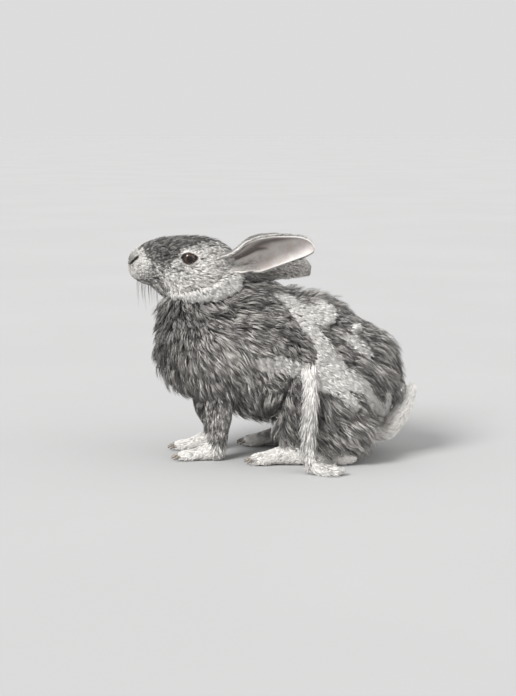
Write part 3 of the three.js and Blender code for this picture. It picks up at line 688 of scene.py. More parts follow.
def face_pale(p):
    """Share of pale hair on the head: the cap is dark with a ragged edge, the rest pale, less a bell
    share * exp(-d^2) for each smudge, a few of them painted shade, and for the lines of mouth and ear,
    painted shade in their creases. A pale oval lies round the eye, less painted shade in two creases by it."""
    edge = np.interp(p[:, 0], *np.transpose(CAP_EDGE))
    ragged = 1.6 * np.sin(p[:, 0] * 1.3 + 0.9 * p[:, 2]) + 1.1 * np.sin(p[:, 0] * 2.9 - 0.7 * p[:, 2])
    soft = 2.5 * ease(-105, -125, p[:, 0])
    pale = 0.90 * (1 - ease(-3.5 - soft, 3.5 + soft, p[:, 2] - edge - ragged))
    pale = pale + 0.38 * ease(-142, -156, p[:, 0]) * (1 - pale)  # the cap fades out on the nose
    for x, z, wide, high, slope, share in FACE_SMUDGES_AND_SHADE:
        low = p[:, 2] - z - slope * (p[:, 0] - x)
        pale = pale - share * bell((p[:, 0] - x) / wide, low / high)
    # painted shade in the crease at the ear's root
    pale = pale - 0.9 * bell(from_line(p, EAR_CREASE_SHADE) / 2.0)
    # painted shade in the groove of the mouth
    pale = pale - 0.6 * bell(from_line(p, MOUTH) / 1.7)
    behind, over = p[:, 0] - EYE_AT[0], p[:, 2] - EYE_AT[2]
    oval = np.hypot((behind - 1) / 17, over / 11)
    pale = np.maximum(pale, 0.95 * (1 - ease(0.8, 1.15, oval)))
    # painted shade in a crease that runs back from the eye's rear corner, and in one under the lower lid
    lid_crease_shade = ease(7.5, 9.0, behind) * ease(16, 13, behind) * bell((over + 0.3) / 0.9)
    under_lid_shade = ease(-2, -4, over) * bell((from_lids(p) - 1.62) / 0.11)
    return np.clip(pale - lid_crease_shade - 0.35 * under_lid_shade, 0, 1)


def nearest(points, targets):
    """Index of the target nearest to each point, worked out in blocks: the least |t|^2 - 2 p t."""
    square = (targets**2).sum(axis=1)
    blocks = np.array_split(points, 1 + len(points) // 4000)
    return np.concatenate([np.argmin(square - 2 * block @ targets.T, axis=1) for block in blocks])


def limb_way(p, path):
    """For each place: its distance from a limb's middle line, the share of the way along it, the direction
    there, and the angle round it as a share of a turn."""
    at = np.linspace(0, 1, 60)
    line = spline(path, at)
    run = unit(np.gradient(line, axis=0))
    side = unit(np.cross(run, [0.3, 0.2, 0.93]))
    near = nearest(p, line)
    off = p - line[near]
    turn = np.arctan2((off * np.cross(run, side)[near]).sum(axis=1), (off * side[near]).sum(axis=1))
    return np.linalg.norm(off, axis=1), at[near], run[near], turn / (2 * pi) + 0.5


def limb_off(p, name):
    """How far places lie outside the skin of a limb: the distance from its middle line less its mean size."""
    path, sizes, _, depth = LIMBS[name]
    away, share, _, _ = limb_way(p, path)
    mean = np.array(sizes, dtype=float).mean(axis=1) - depth
    return away - np.interp(share, np.linspace(0, 1, len(mean)), mean)


PARTS = ["head", "body"] + list(LIMBS) + ["toes"]


def part_of(p):
    """Index in PARTS of the form whose skin each place lies on: the one that it is the least way off."""
    off = [head_skin(p), body_skin(p)] + [limb_off(p, name) for name in LIMBS]
    toe = [
        np.abs(np.linalg.norm((p - at) / (np.array(half) - TOE_COAT), axis=1) - 1) * half[1]
        for at, half, _ in TOES
    ]
    return np.argmin(np.abs(off + [np.min(toe, axis=0)]), axis=0)


FOOT_PALE = 0.86
FAR_HIND_PALE = 0.45
TAIL_PALE = 0.97


def pale_share(p, part):
    """Share of pale hair at each place, from 0 for the smoke-grey coat to 1 for white wool: the patches on
    the trunk, the markings of the face, and a share of its own for each leg, foot and the tail."""
    share = np.where(part == 0, face_pale(p), ease(-1.5, 1.5, shed(p)))
    over_toes = ease(27, 22, p[:, 2]) * ease(60, 46, p[:, 0]) * (p[:, 0] > -30)
    share = np.where(part == 1, np.maximum(share, FOOT_PALE * over_toes), share)
    for i, name in enumerate(PARTS):
        if name.startswith("foreleg"):
            own = 0.62 * ease(30, 12, p[:, 2]) + 0.10
        elif name.startswith(("forepaw", "hind", "toes")):
            own = FAR_HIND_PALE if name == "hind_foot_right" else FOOT_PALE
        elif name == "tail":
            own = TAIL_PALE
        else:
            continue
        share = np.where(part == i, own, share)
    return share


fused.calc_loop_triangles()
skin_faces = read(fused.loop_triangles, "vertices", np.int32)
skin_points = corners(fused)
skin_normals = read(fused.vertex_normals, "vector")
skin_part = part_of(skin_points)


def add_attribute(mesh, name, values):
    """Stores one number for each corner of the mesh under a name that its material reads."""
    layer = mesh.attributes.new(name, "FLOAT", "POINT")
    layer.data.foreach_set("value", np.ascontiguousarray(values, dtype=np.float32))


HEAD_GREY = 0.6  # tone of the grey hair on the head
pale = pale_share(skin_points + skin_normals * COAT_DEPTH * (skin_part == 1)[:, None], skin_part)
add_attribute(fused, "pale", pale)
add_attribute(fused, "tone", pale + (1 - pale) * np.where(skin_part == 0, HEAD_GREY, smoke_and_shade(skin_points)))
# bare: skin of the grooves, painted near black further down as their shade
add_attribute(fused, "bare", np.clip(bare / 0.3, 0, 1))

# Hair grain: a shader group for the fine unevenness of hair and skin, used by every coat and skin material.
# It scales a colour by noise, colour * (1 + amount * (2 noise - 1)), and puts out the noise for a bump.
grain = bpy.data.node_groups.new("hair_grain", "ShaderNodeTree")
for name, in_out, kind in [
    ("Colour", "INPUT", "NodeSocketColor"),
    ("Scale", "INPUT", "NodeSocketFloat"),
    ("Amount", "INPUT", "NodeSocketFloat"),
    ("Colour", "OUTPUT", "NodeSocketColor"),
    ("Height", "OUTPUT", "NodeSocketFloat"),
]:
    grain.interface.new_socket(name=name, in_out=in_out, socket_type=kind)
given = grain.nodes.new("NodeGroupInput").outputs
result = grain.nodes.new("NodeGroupOutput").inputs
place = node(grain, "ShaderNodeTexCoord")
noise = node(grain, "ShaderNodeTexNoise", Detail=4.0)
centred = node(grain, "ShaderNodeMath", set_operation="MULTIPLY_ADD")
centred.inputs[1].default_value = 2.0
centred.inputs[2].default_value = -1.0
strength = node(grain, "ShaderNodeMath", set_operation="MULTIPLY_ADD")
strength.inputs[2].default_value = 1.0
tint = node(grain, "ShaderNodeVectorMath", set_operation="SCALE")
join(place.outputs["Object"], noise.inputs["Vector"])
join(given["Scale"], noise.inputs["Scale"])
join(noise.outputs["Fac"], centred.inputs[0])
join(centred.outputs[0], strength.inputs[0])
join(given["Amount"], strength.inputs[1])
join(given["Colour"], tint.inputs[0])
join(strength.outputs[0], tint.inputs["Scale"])
join(tint.outputs["Vector"], result["Colour"])
join(noise.outputs["Fac"], result["Height"])


def with_grain(material, inputs, source, scale, amount, bump):
    """Sends a colour through the hair grain to the shader's inputs, and the same grain as a bump."""
    group = node(material, "ShaderNodeGroup", set_node_tree=grain, Scale=scale, Amount=amount)
    raised = node(material, "ShaderNodeBump", Strength=bump, Distance=0.0006)
    join(source, group.inputs["Colour"])
    join(group.outputs["Colour"], inputs["Base Color"])
    join(group.outputs["Height"], raised.inputs["Height"])
    join(raised.outputs["Normal"], inputs["Normal"])


def mixed(material, share, first, second):
    """A colour between two by a share. Each colour is a tuple or the output of a node."""
    mix = node(material, "ShaderNodeMix", set_data_type="RGBA")
    join(share, mix.inputs["Factor"])
    colours = [socket for socket in mix.inputs if socket.type == "RGBA"]
    for socket, colour in zip(colours, (first, second)):
        if isinstance(colour, tuple):
            socket.default_value = (*colour, 1)
        else:
            join(colour, socket)
    return next(socket for socket in mix.outputs if socket.type == "RGBA")


def attribute(material, name):
    """The numbers that a piece stores under that name."""
    return node(material, "ShaderNodeAttribute", set_attribute_name=name).outputs["Fac"]


def toned(material, colour):
    """A colour times the piece's own tone."""
    scaled = node(material, "ShaderNodeVectorMath", set_operation="SCALE")
    join(colour, scaled.inputs[0])
    join(attribute(material, "tone"), scaled.inputs["Scale"])
    return scaled.outputs["Vector"]


# Hair is painted darker at the root than at the tip, and the skin under it takes the root colours: painted
# shade deep in the coat, with a little cream of the wool's own at the pale roots.
GREY_ROOT = (0.250, 0.240, 0.228)
GREY_TIP = (0.330, 0.317, 0.301)
PALE_ROOT = (0.72, 0.695, 0.66)
PALE_TIP = (0.90, 0.885, 0.855)
# Bare skin in the nostrils, mouth and cleft is painted near black: painted shade in those grooves.
GROOVE_SHADE = (0.024, 0.020, 0.018)

base = mixed(skin_paint, attribute(skin_paint, "pale"), GREY_ROOT, PALE_ROOT)
base = mixed(skin_paint, attribute(skin_paint, "bare"), toned(skin_paint, base), GROOVE_SHADE)
with_grain(skin_paint, skin_inputs, base, 700, 0.30, 0.5)

# The coat: fine hair in pointed locks over the whole skin, each hair a thin three-sided taper whose root is
# sunk in the skin. Old hair is long and lies in ragged locks; the new wool in the shed patches is short.
rng = np.random.default_rng(11)
coat_paint, coat_inputs = new_material("coat", 0.68, Specular_IOR_Level=0.3)
dark = mixed(coat_paint, attribute(coat_paint, "along"), GREY_ROOT, GREY_TIP)
light = mixed(coat_paint, attribute(coat_paint, "along"), PALE_ROOT, PALE_TIP)
hair = toned(coat_paint, mixed(coat_paint, attribute(coat_paint, "pale"), dark, light))
with_grain(coat_paint, coat_inputs, hair, 500, 0.15, 0.25)
PATCH = 0.003  # side of the patch of the bake map that one hair takes


def strands(name, path, up, wide, tone, pale, unwrap, slot="coat_grey", material=coat_paint):
    """Hairs as one mesh. path (n, k, 3) runs from root to tip, up (n, 3) is away from the skin. The section
    is a low triangle of width wide and 3/8 of that depth, swelling after the root and closing at the tip."""
    n, k = path.shape[:2]
    after = np.minimum(np.arange(k) + 1, k - 1)
    before = np.maximum(np.arange(k) - 1, 0)
    run = unit(path[:, after] - path[:, before])
    side = unit(np.cross(up[:, None], run))
    over = np.cross(run, side)[:, :-1]
    side = side[:, :-1]
    steps = np.linspace(0, 1, k)[:-1]
    swelling = np.interp(steps, [0, 0.35, 0.7, 1], [0.6, 1.0, 0.8, 0])
    half = (wide[:, None] * swelling / 2)[..., None]
    body = path[:, :-1]
    left = body - side * half - over * half * 0.3
    right = body + side * half - over * half * 0.3
    ridge = body + over * half * 0.45
    rings = np.stack([left, right, ridge], axis=2).reshape(n, -1, 3)
    points = np.concatenate([rings, path[:, -1:]], axis=1)
    each = points.shape[1]
    faces = [(0, 2, 1)]
    for i in range(k - 2):
        for a, b in ((0, 1), (1, 2), (2, 0)):
            faces += [(3 * i + a, 3 * i + b, 3 * i + 3 + b), (3 * i + a, 3 * i + 3 + b, 3 * i + 3 + a)]
    faces += [(each - 4, each - 3, each - 1), (each - 3, each - 2, each - 1), (each - 2, each - 4, each - 1)]
    faces = (np.arange(n)[:, None, None] * each + np.array(faces)).reshape(-1, 3)
    made = surface(name, points.reshape(-1, 3), faces, material, turn=False)
    along = np.append(np.repeat(steps, 3), 1.0)
    across = np.append(np.tile([-0.5, 0.5, 0.0], k - 1), 0.0)
    add_attribute(made.data, "along", np.tile(along, n))
    add_attribute(made.data, "tone", np.repeat(tone, each))
    add_attribute(made.data, "pale", np.repeat(pale, each))
    bake = unwrap[:, None] + PATCH * np.stack([along - 0.5, across], axis=1)
    layer = made.data.uv_layers.new(name="OFBake")
    layer.data.foreach_set("uv", bake.reshape(-1, 2)[faces.ravel()].astype(np.float32).ravel())
    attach(made, "root")


def draw(count, low, spread):
    """Random numbers, evenly from low to low + spread."""
    return low + spread * rng.random(count)


def roots_on(part, count, thick=None):
    """Places spread evenly by area over some parts of the skin, with the skin's direction there. thick gives
    how much closer they stand at each place, from a point on the outside of the coat."""
    kinds = skin_part[skin_faces[:, 0]]
    centre = skin_points[skin_faces].mean(axis=1)
    pick = np.isin(kinds, [PARTS.index(name) for name in part]) & (centre[:, 2] > 1.6)
    pick &= bare[skin_faces].max(axis=1) < 0.55  # none in the mouth and the nostrils
    faces, centre = skin_faces[pick], centre[pick]
    a, b, c = (skin_points[faces[:, i]] for i in range(3))
    area = np.linalg.norm(np.cross(b - a, c - a), axis=1)
    if thick is not None:
        area = area * thick(centre + COAT_DEPTH * unit(skin_normals[faces].mean(axis=1)))
    steps = np.cumsum(area) / area.sum()
    pick = np.searchsorted(steps, (np.arange(count) + rng.random(count)) / count)
    pick = np.minimum(pick, len(faces) - 1)
    u, v = rng.random((2, count, 1))
    fold = u + v > 1
    u, v = np.where(fold, 1 - u, u), np.where(fold, 1 - v, v)
    at = a[pick] + (b - a)[pick] * u + (c - a)[pick] * v
    return at, unit(skin_normals[faces[pick]].mean(axis=1))


def flattened(way, up):
    """Directions laid down on the skin: less their part along its own direction."""
    return unit(way - up * (way * up).sum(axis=1, keepdims=True))


def turned(way, up, angle):
    """Directions turned about the skin's own direction by angles in radians."""
    return way * np.cos(angle)[:, None] + np.cross(up, way) * np.sin(angle)[:, None]


def settle(shape, p, level):
    """Moves points along the slope of a shape until they lie that far outside it, in two steps."""
    for _ in range(2):
        here = shape(p)
        slope = unit(np.stack([shape(p + step) - here for step in np.eye(3) * 0.5], axis=1) / 0.5)
        p = p - slope * (here - level)[:, None]
    return p, slope


def leaders(root, each):
    """Index of the leader of each hair's lock, of about so many hairs: the nearest of some random picks."""
    some = rng.choice(len(root), max(len(root) // each, 1), replace=False)
    return some[nearest(root, root[some])]


def together(tip, leader, pull):
    """Draws tips toward the tip of their lock's leader, by pull or up to a third less of the way."""
    share = pull * draw(len(tip), 0.67, 0.33)[:, None]
    return tip + (tip[leader] - tip) * share


def bowed(start, control, end, shares):
    """Points of a bow from start to end: (1 - t)^2 start + 2 t (1 - t) control + t^2 end."""
    t = np.array(shares)[None, :, None]
    return (1 - t) ** 2 * start[:, None] + 2 * t * (1 - t) * control[:, None] + t**2 * end[:, None]


def around_axis(p, start, end):
    """Unwrap of head or trunk: the share of the way along its axis, and the angle round it."""
    start, end = np.array(start, dtype=float), np.array(end, dtype=float)
    axis = unit(end - start)
    along = (p - start) @ axis
    off = p - start - along[:, None] * axis
    other = unit(np.cross(axis, ACROSS))
    angle = np.arctan2(off @ other, off @ unit(np.cross(other, axis))) / (2 * pi) + 0.5
    along = (along - along.min()) / (along.max() - along.min())
    return 0.01 + 0.98 * np.stack([along, angle], axis=1)


def in_pieces(names, root, axis, *rows):
    """Hairs as several pieces of one count, in order from nose to tail."""
    for name, pick in zip(names, np.array_split(np.argsort(root[:, 0]), len(names))):
        strands("coat_" + name, *(row[pick] for row in rows), around_axis(root[pick], *axis))


def body_lie(p):
    """The way the coat runs over the trunk: down the breast, back over the flanks, to the tail on the spine,
    by smooth steps along the trunk and up it."""
    behind = ease(-125, -30, p[:, 0])
    high = ease(95, 175, p[:, 2])
    aside = 0.35 * high * np.clip(p[:, 1] / 30, -1, 1)
    return np.stack([0.12 + 0.88 * behind, aside, -(1 - 0.72 * behind * high)], axis=1)


OLD_HAIRS = 46000
OLD_LENGTH = 22.0
OLD_RISE = 13.5  # of a hair's tip off the skin
BIG_LOCK = 20  # hairs
SMALL_LOCK = 4
STANDING = 0.20  # share of locks that stand out from the rest
STAND_HIGHER = 7.0
DARK_LOCKS = 0.42  # share of small locks that are dark
DARK_TONE = 0.40
LIGHT_TONE = 1.22
root, up = roots_on(["body"], OLD_HAIRS, lambda p: ease(1.5, -0.5, shed(p)) * (head_skin(p) > 8))
way = flattened(body_lie(root), up)
big, small = leaders(root, BIG_LOCK), leaders(root, SMALL_LOCK)
whim = rng.random((4, OLD_HAIRS))[:, big]  # what all the hairs of one lock have in common
slant = radians(12) * rng.standard_normal(OLD_HAIRS)[big] + radians(7) * rng.standard_normal(OLD_HAIRS)
way = turned(way, up, slant)
rank = rng.random(OLD_HAIRS)
inside = shed(root + up * COAT_DEPTH)
seen_x, seen_z = side_view(root + up * COAT_DEPTH)
length = OLD_LENGTH * (0.72 + 0.45 * whim[0]) * (0.62 + 0.5 * rank)
length *= 1 - 0.3 * ease(-70, -105, root[:, 0]) * ease(130, 165, root[:, 2])
low_edge = np.where(root[:, 0] > -20, 12.0, 2.0)  # the haunch's hair ends over the foot, not on the floor
length = np.minimum(length, 3 + np.maximum(root[:, 2] - low_edge, 0) / np.maximum(-way[:, 2], 0.3))
stand = np.where(whim[1] > 1 - STANDING, 1.0, 0.0) * (0.4 + 0.6 * whim[2])
rise = OLD_RISE * (0.45 + 0.55 * np.sqrt(rank))
rise *= 0.72 + 0.28 * ease(-2, -14, inside)  # lower beside the shed patches
loin = bell((seen_x - 84) / 26, (seen_z - 162) / 22)
withers = bell((seen_x - 28) / 17, (seen_z - 188) / 12)
rise *= 1 - 0.5 * loin + 0.35 * withers
stand = np.maximum(stand * (1 - loin), 0.9 * withers)
rise *= 0.35 + 0.65 * ease(8, 34, root[:, 2])  # lower near the floor
rise = np.minimum(rise, 3 + 1.1 * np.maximum(head_skin(root), 0))  # and beside the head
rise = np.minimum(rise, 2 + 0.5 * length)
tip = together(together(root + way * length[:, None], big, 0.42), small, 0.55)

# Where a lock would lie over a shed patch, it ends a few millimetres inside the patch's edge. The dark tuft
# of the withers reaches further over it.
tuft = ease(0, 8, seen_x) * ease(56, 46, seen_x) * ease(170, 178, seen_z)
overhang = 0.5 + 4.0 * whim[3] + 9.0 * tuft
share = np.ones(OLD_HAIRS)
for step in (1.0, 0.85, 0.7, 0.55, 0.4, 0.25):
    spot, _ = settle(body_skin, root + (tip - root) * step, np.full(OLD_HAIRS, BODY_COAT + 2))
    share = np.where(shed(spot) > overhang, step - 0.1, share)
tip = root + (tip - root) * share[:, None]
fleck = rng.random(OLD_HAIRS)[small]
bend = np.cross(up, way) * (2.2 * rng.standard_normal(OLD_HAIRS)[small])[:, None]
tip, tip_up = settle(body_skin, tip, rise * 0.96 + STAND_HIGHER * stand * share)
control = root + (tip - root) * 0.42 + bend * share[:, None] + up * (rise * (0.75 + 0.2 * stand))[:, None]
path = bowed(root - up, control, tip, [0, 0.27, 0.6, 1])
path[..., 2] = np.maximum(path[..., 2], 1.2)  # clear of the floor
tone = np.where(fleck < DARK_LOCKS, DARK_TONE, LIGHT_TONE) * smoke_and_shade(root) * (0.85 + 0.3 * whim[2])
tone = tone * draw(OLD_HAIRS, 0.8, 0.4)
pale_low = pale_share(root, np.ones(OLD_HAIRS)) * (root[:, 2] < 30)
pale = 1.0 * (rng.random(OLD_HAIRS)[small] < pale_low)
tone = np.where(pale > 0.5, 1.0, np.minimum(tone, 2.0))
wide = draw(OLD_HAIRS, 0.65, 0.35)
trunk = ["breast", "shoulders", "flanks", "loin", "rump"]
in_pieces(trunk, root, BODY_AXIS, path, unit(up + tip_up), wide, tone, pale)

# The new wool: soft off-white hair a centimetre long that fills the shed patches, in small locks of which a
# few are greyer. It ends a little way outside a patch's edge, under the old coat.
NEW_HAIRS = 17000
NEW_LENGTH = 13.0
NEW_RISE = 9.2
NEW_LOCK = 9  # hairs
NEW_GREY = 0.06  # share of greyer locks
root, up = roots_on(["body"], NEW_HAIRS, lambda p: 0.01 + ease(-3.0, 0.5, shed(p)))
way = turned(flattened(body_lie(root), up), up, radians(16) * rng.standard_normal(NEW_HAIRS))
length = NEW_LENGTH * draw(NEW_HAIRS, 0.7, 0.5)
rise = NEW_RISE * draw(NEW_HAIRS, 0.86, 0.14)
leader = leaders(root, NEW_LOCK)
tip = together(root + way * length[:, None], leader, 0.45)
share = np.ones(NEW_HAIRS)
margin = -2.2 - 3.5 * rng.random(NEW_HAIRS)[leader]
for step in (1.0, 0.8, 0.6, 0.4):
    share = np.where(shed(root + (tip - root) * step + up * COAT_DEPTH) < margin, step - 0.15, share)
tip, tip_up = settle(body_skin, root + (tip - root) * share[:, None], rise * (0.6 + 0.4 * share))
path = bowed(root - up * 0.8, root + (tip - root) * 0.3 + up * rise[:, None], tip, [0, 0.5, 1])
wide = draw(NEW_HAIRS, 0.8, 0.4)
tone = draw(NEW_HAIRS, 0.86, 0.14) * np.where(root[:, 0] < -40, 0.88, 1.0)
pale = np.where(rng.random(NEW_HAIRS)[leader] < NEW_GREY, 0.55, 1.0)
strands(
    "coat_new_wool", path, unit(up + tip_up), wide, tone, pale, around_axis(root, *BODY_AXIS), "coat_pale"
)

# The short coat of the head: hair a few millimetres long that runs back from the nose, fans round the eyes,
# stands up a little on the crown and lengthens into a ruff on the cheeks.
HEAD_HAIRS = 26000
HEAD_LOCK = 7
NOSE_LENGTH = 2.0
FACE_LONGER = 5.0  # by so much more from the eyes back
RUFF_LONGER = 8.0
CROWN_LONGER = 2.5
JAW_LONGER = 10.0
JAW_HANG = 12.0
LID_EDGE_BARE = 1.22  # no roots closer to the opening than this, in shares of its reach
LID_CLEAR = 1.14  # and no tips closer than this


def under_jaw(p):
    """Share of the long hair that hangs from the lower jaw over the throat."""
    return ease(-139, -129, p[:, 0]) * ease(-96, -108, p[:, 0]) * ease(197, 188, p[:, 2])


def over_lids(p, level):
    """Places that lie level off plain skin, moved out sideways by as much as the lids stand out there."""
    return p + ACROSS * (np.sign(p[:, 1]) * orbit(p, np.abs(p[:, 1]) - level))[:, None]


def head_density(p):
    """How close the hair of the head stands: closer on the nose, under the jaw and round the eyes."""
    return 0.6 + ease(-60, -130, p[:, 0]) + 0.5 * under_jaw(p) + 1.6 * ease(2.2, 1.4, from_lids(p))


root, up = roots_on(["head"], HEAD_HAIRS, head_density)
keep = (from_lids(root) > LID_EDGE_BARE) & (body_skin(root) > 1.5)
root, up = root[keep], up[keep]
count = len(root)
off_lids = from_lids(root)
open_lids = ease(1.1, 2.3, off_lids)
slit = np.minimum(from_line(root, NOSTRIL) / 3.0, from_line(root, CLEFT) / 1.5)
jaw = under_jaw(root)
nose = ease(-146, -153, root[:, 0])
from_nose = unit(root - [-158, 0, 214])
back = np.stack([np.ones(count), 0 * jaw, -0.30 - 0.45 * ease(205, 185, root[:, 2]) - jaw], axis=1)
front = ease(-132, -152, root[:, 0])[:, None]
from_eye = unit((root - EYE_AT * [1, 0, 1]) * [1, 0, 1]) * ease(2.2, 1.2, off_lids)[:, None]
way = flattened(from_nose * (0.35 + front) + back * (1 - 0.8 * front) + from_eye, up)
leader = leaders(root, HEAD_LOCK)
slant = radians(9) * rng.standard_normal(count) + radians(10) * rng.standard_normal(count)[leader]
way = turned(way, up, slant)
ruff = ease(-105, -62, root[:, 0]) * ease(222, 196, root[:, 2])
crown = ease(228, 238, root[:, 2]) * ease(-142, -120, root[:, 0])
length = NOSE_LENGTH + 1.6 * ease(1.0, 3.0, slit) + FACE_LONGER * ease(-150, -112, root[:, 0])
length = length + RUFF_LONGER * ruff + CROWN_LONGER * crown + JAW_LONGER * jaw
length *= draw(count, 0.7, 0.5) * (0.35 + 0.65 * open_lids)
rise = head_coat(root) + 0.8 * ruff + crown * 2.4 * rng.random(count)[leader]
rise = (rise + JAW_HANG * jaw * draw(count, 0.4, 0.6)[leader]) * draw(count, 0.5, 0.65)
rise *= 0.45 + 0.55 * open_lids
tip = together(root + way * length[:, None], leader, 0.55)
tip_off = from_lids(tip)
share = np.where(tip_off < LID_CLEAR, (off_lids - LID_CLEAR) / np.maximum(off_lids - tip_off, 0.01), 1)
tip = root + (tip - root) * np.clip(share, 0.2, 1)[:, None]
middle, up_1 = settle(head_skin, root + (tip - root) * 0.5, rise * 0.8)
tip, _ = settle(head_skin, tip, rise)
path = np.stack([root - up * 0.7, over_lids(middle, rise * 0.8), over_lids(tip, rise)], axis=1)

# Its colours: pale and grey hair in locks, mixed on the nose, and rows of dark spots on the whisker pads.
SPOT = 1.1  # half breadth of one spot
spots = np.zeros(count)
for row in range(4):
    for step in range(5):
        spot = on_head([(26 + 12 * step + 4 * row, 211 - 3.4 * row - 0.5 * step)])[0]
        away = np.linalg.norm(right_side(root) - spot, axis=1)
        spots = np.maximum(spots, bell(away / SPOT))
share = face_pale(root) * (1 - 0.9 * spots)
limit = draw(count, 0.1, 0.8)[leader]
pale = ease(-1, 1, (share - limit - (0.5 - limit) * nose) / (0.26 + 0.5 * nose))
grey = np.where(rng.random(count)[leader] < 0.5, 0.38 + 0.3 * nose, 0.95 - 0.2 * nose) * (1 - 0.3 * spots)
tone = (pale + (1 - pale) * grey) * draw(count, 0.84, 0.22)
wide = draw(count, 0.5, 0.25) + 0.3 * ruff
in_pieces(["face", "cheeks"], root, HEAD_AXIS, path, up_1, wide, tone, pale)

# Legs, feet and tail: short hair that runs down the legs and forward over the toes, and a thick brush of
# white hair that lies close along the tail and closes over its blunt end.
FORELEGS = ["foreleg_left", "foreleg_right"]
FEET = ["forepaw_left", "forepaw_right", "hind_foot_left", "hind_foot_right"]
LIMB_LOCK = 7
LIMB_COATS = [  # piece, limbs, hairs, length, rise, breadth, tone of the darker locks and of all, slot
    ("coat_forelegs", FORELEGS, 4600, 11.0, 3.9, 0.85, 0.45, 1.0, "coat_grey"),
    ("coat_feet", FEET, 8200, 5.0, 1.7, 0.55, 0.9, 1.0, "coat_pale"),
    # the tail's hair is painted 1.18 times paler: painted light against the shade of the rump
    ("coat_tail", ["tail"], 4600, 13.0, 5.6, 0.75, 0.45, 1.18, "coat_pale"),
]


def off_limbs(names):
    """The function that gives how far places lie outside the nearest of some limbs."""
    return lambda p: np.min([limb_off(p, name) for name in names], axis=0)


for piece, names, hairs, long, high, broad, dark_tone, all_tone, slot in LIMB_COATS:
    root, up = roots_on(names + ["toes"] * (names == FEET), hairs)
    ways = [limb_way(root, LIMBS[name][0]) for name in names]
    mine = np.argmin([away for away, _, _, _ in ways], axis=0), np.arange(hairs)
    share, run, turn = (np.stack([way[k] for way in ways])[mine] for k in (1, 2, 3))
    way = turned(flattened(run, up), up, radians(6) * rng.standard_normal(hairs))
    length = long * draw(hairs, 0.7, 0.5)
    rise = high * draw(hairs, 0.45, 0.6)
    leader = leaders(root, LIMB_LOCK)
    tip = together(root + way * length[:, None], leader, 0.5)
    middle = root + (tip - root) * 0.5
    if names == FEET:
        middle, tip = middle + up * (rise * 0.8)[:, None], tip + up * rise[:, None]
    else:
        middle = settle(off_limbs(names), middle, rise * 0.85)[0]
        tip = settle(off_limbs(names), tip, rise)[0]
    path = np.stack([root - up * 0.6, middle, tip], axis=1)
    path[..., 2] = np.maximum(path[..., 2], 0.6)
    pale = pale_share(root, part_of(root))
    pale = ease(-0.2, 0.2, pale - 0.95 * rng.random(hairs)[leader])
    grey = np.where(rng.random(hairs)[leader] < 0.45, dark_tone, 1.2) * smoke_and_shade(root)
    tone = (pale + (1 - pale) * grey) * draw(hairs, 0.85, 0.25) * all_tone
    unwrap = np.stack([(mine[0] + 0.02 + 0.96 * share) / len(names), 0.01 + 0.98 * turn], axis=1)
    strands(piece, path, up, broad * draw(hairs, 0.8, 0.4), tone, pale, unwrap, slot)

# Ears: each is a thin trough of skin rolled at the root and open towards the tip, bare and folded inside
# and furred on the back. The upper margin of the near ear is rolled over.
EAR_STATIONS = np.array([  # share of the length, half width, and how far each margin is rolled round
    (0.0, 8, 118, 118),
    (0.10, 9, 118, 112),
    (0.22, 11, 120, 100),
    (0.32, 14, 122, 86),
    (0.43, 18, 120, 74),
    (0.52, 21.2, 116, 68),
    (0.62, 21.2, 108, 62),
    (0.73, 19.2, 98, 58),
    (0.82, 16.2, 88, 54),
    (0.87, 14.4, 80, 50),
    (0.90, 13.2, 76, 48),
    (0.93, 11.5, 70, 46),
    (0.96, 9.0, 62, 44),
    (0.98, 6.6, 56, 42),
    (0.99, 4.7, 52, 41),
    (1.0, 0.6, 50, 40),
])
EAR_PATHS = {
    "ear_left": ([(-62, -9, 212), (-39, -20, 216), (-8, -30, 223.8), (43, -36, 231.3)], (0, -1, -0.2), 0.0),
    "ear_right": ([(-62, 9, 214), (-32, 23, 214), (4, 31, 206), (41, 34, 198)], (0, 1, -0.6), 0.14),
}  # middle line, the way it opens, and how much slimmer its tip is
EAR_WALL = 1.7
EAR_FOLDS = [  # place across the ear at the near and the far end, the stretch it runs along, breadth, height
    (0.26, 0.17, 0.04, 0.50, 0.026, 1.6),
    (0.44, 0.36, 0.05, 0.66, 0.022, 2.1),
    (0.60, 0.58, 0.05, 0.50, 0.024, 1.8),
]

ear_paint, ear_inputs = new_material("ear_skin", 0.6, Subsurface_Weight=0.12, Subsurface_Scale=0.003)
veined = speckled(ear_paint, 90.0, 5.0, (0.50, 0.450, 0.425), (0.60, 0.565, 0.54))
# Inside, the ear is painted dark on the shade side of each fold and under the rolled margin: painted shade.
fold_shaded = mixed(ear_paint, attribute(ear_paint, "fold"), veined, (0.10, 0.080, 0.075))
backed = mixed(ear_paint, attribute(ear_paint, "back"), fold_shaded, GREY_ROOT)
edged = mixed(ear_paint, attribute(ear_paint, "rim"), backed, (0.72, 0.70, 0.67))
with_grain(ear_paint, ear_inputs, edged, 900, 0.18, 0.4)


def ear_frame(name, at):
    """Along an ear: its middle line, the way it runs, the way it opens, and the way to its upper margin."""
    path, opening, _ = EAR_PATHS[name]
    centre = spline(path, at)
    run = unit(spline(path, at + 0.01) - spline(path, at - 0.01))
    out = unit(np.array(opening) - run * (run @ np.array(opening))[:, None])
    across = np.cross(run, out)
    return centre, run, out, across * np.sign(across[:, 2:3])


def ear_ridge(at, turn, lean=0.0):
    """Height of the folds inside an ear, a bell across each that fades in and out along it by the root of a
    sine. lean moves the bells up the ear's breadth."""
    ridge = 0.0
    for near, far, start, end, breadth, height in EAR_FOLDS:
        share = np.clip((at - start) / (end - start), 0, 1)
        off = turn - near - (far - near) * share - lean
        ridge = ridge + height * np.sin(pi * share) ** 0.5 * bell(off / breadth)
    return ridge


def at_stations(at):
    """Half width and the two rolled angles of an ear, in between its stations."""
    return (np.interp(at, EAR_STATIONS[:, 0], EAR_STATIONS[:, k]) for k in (1, 2, 3))


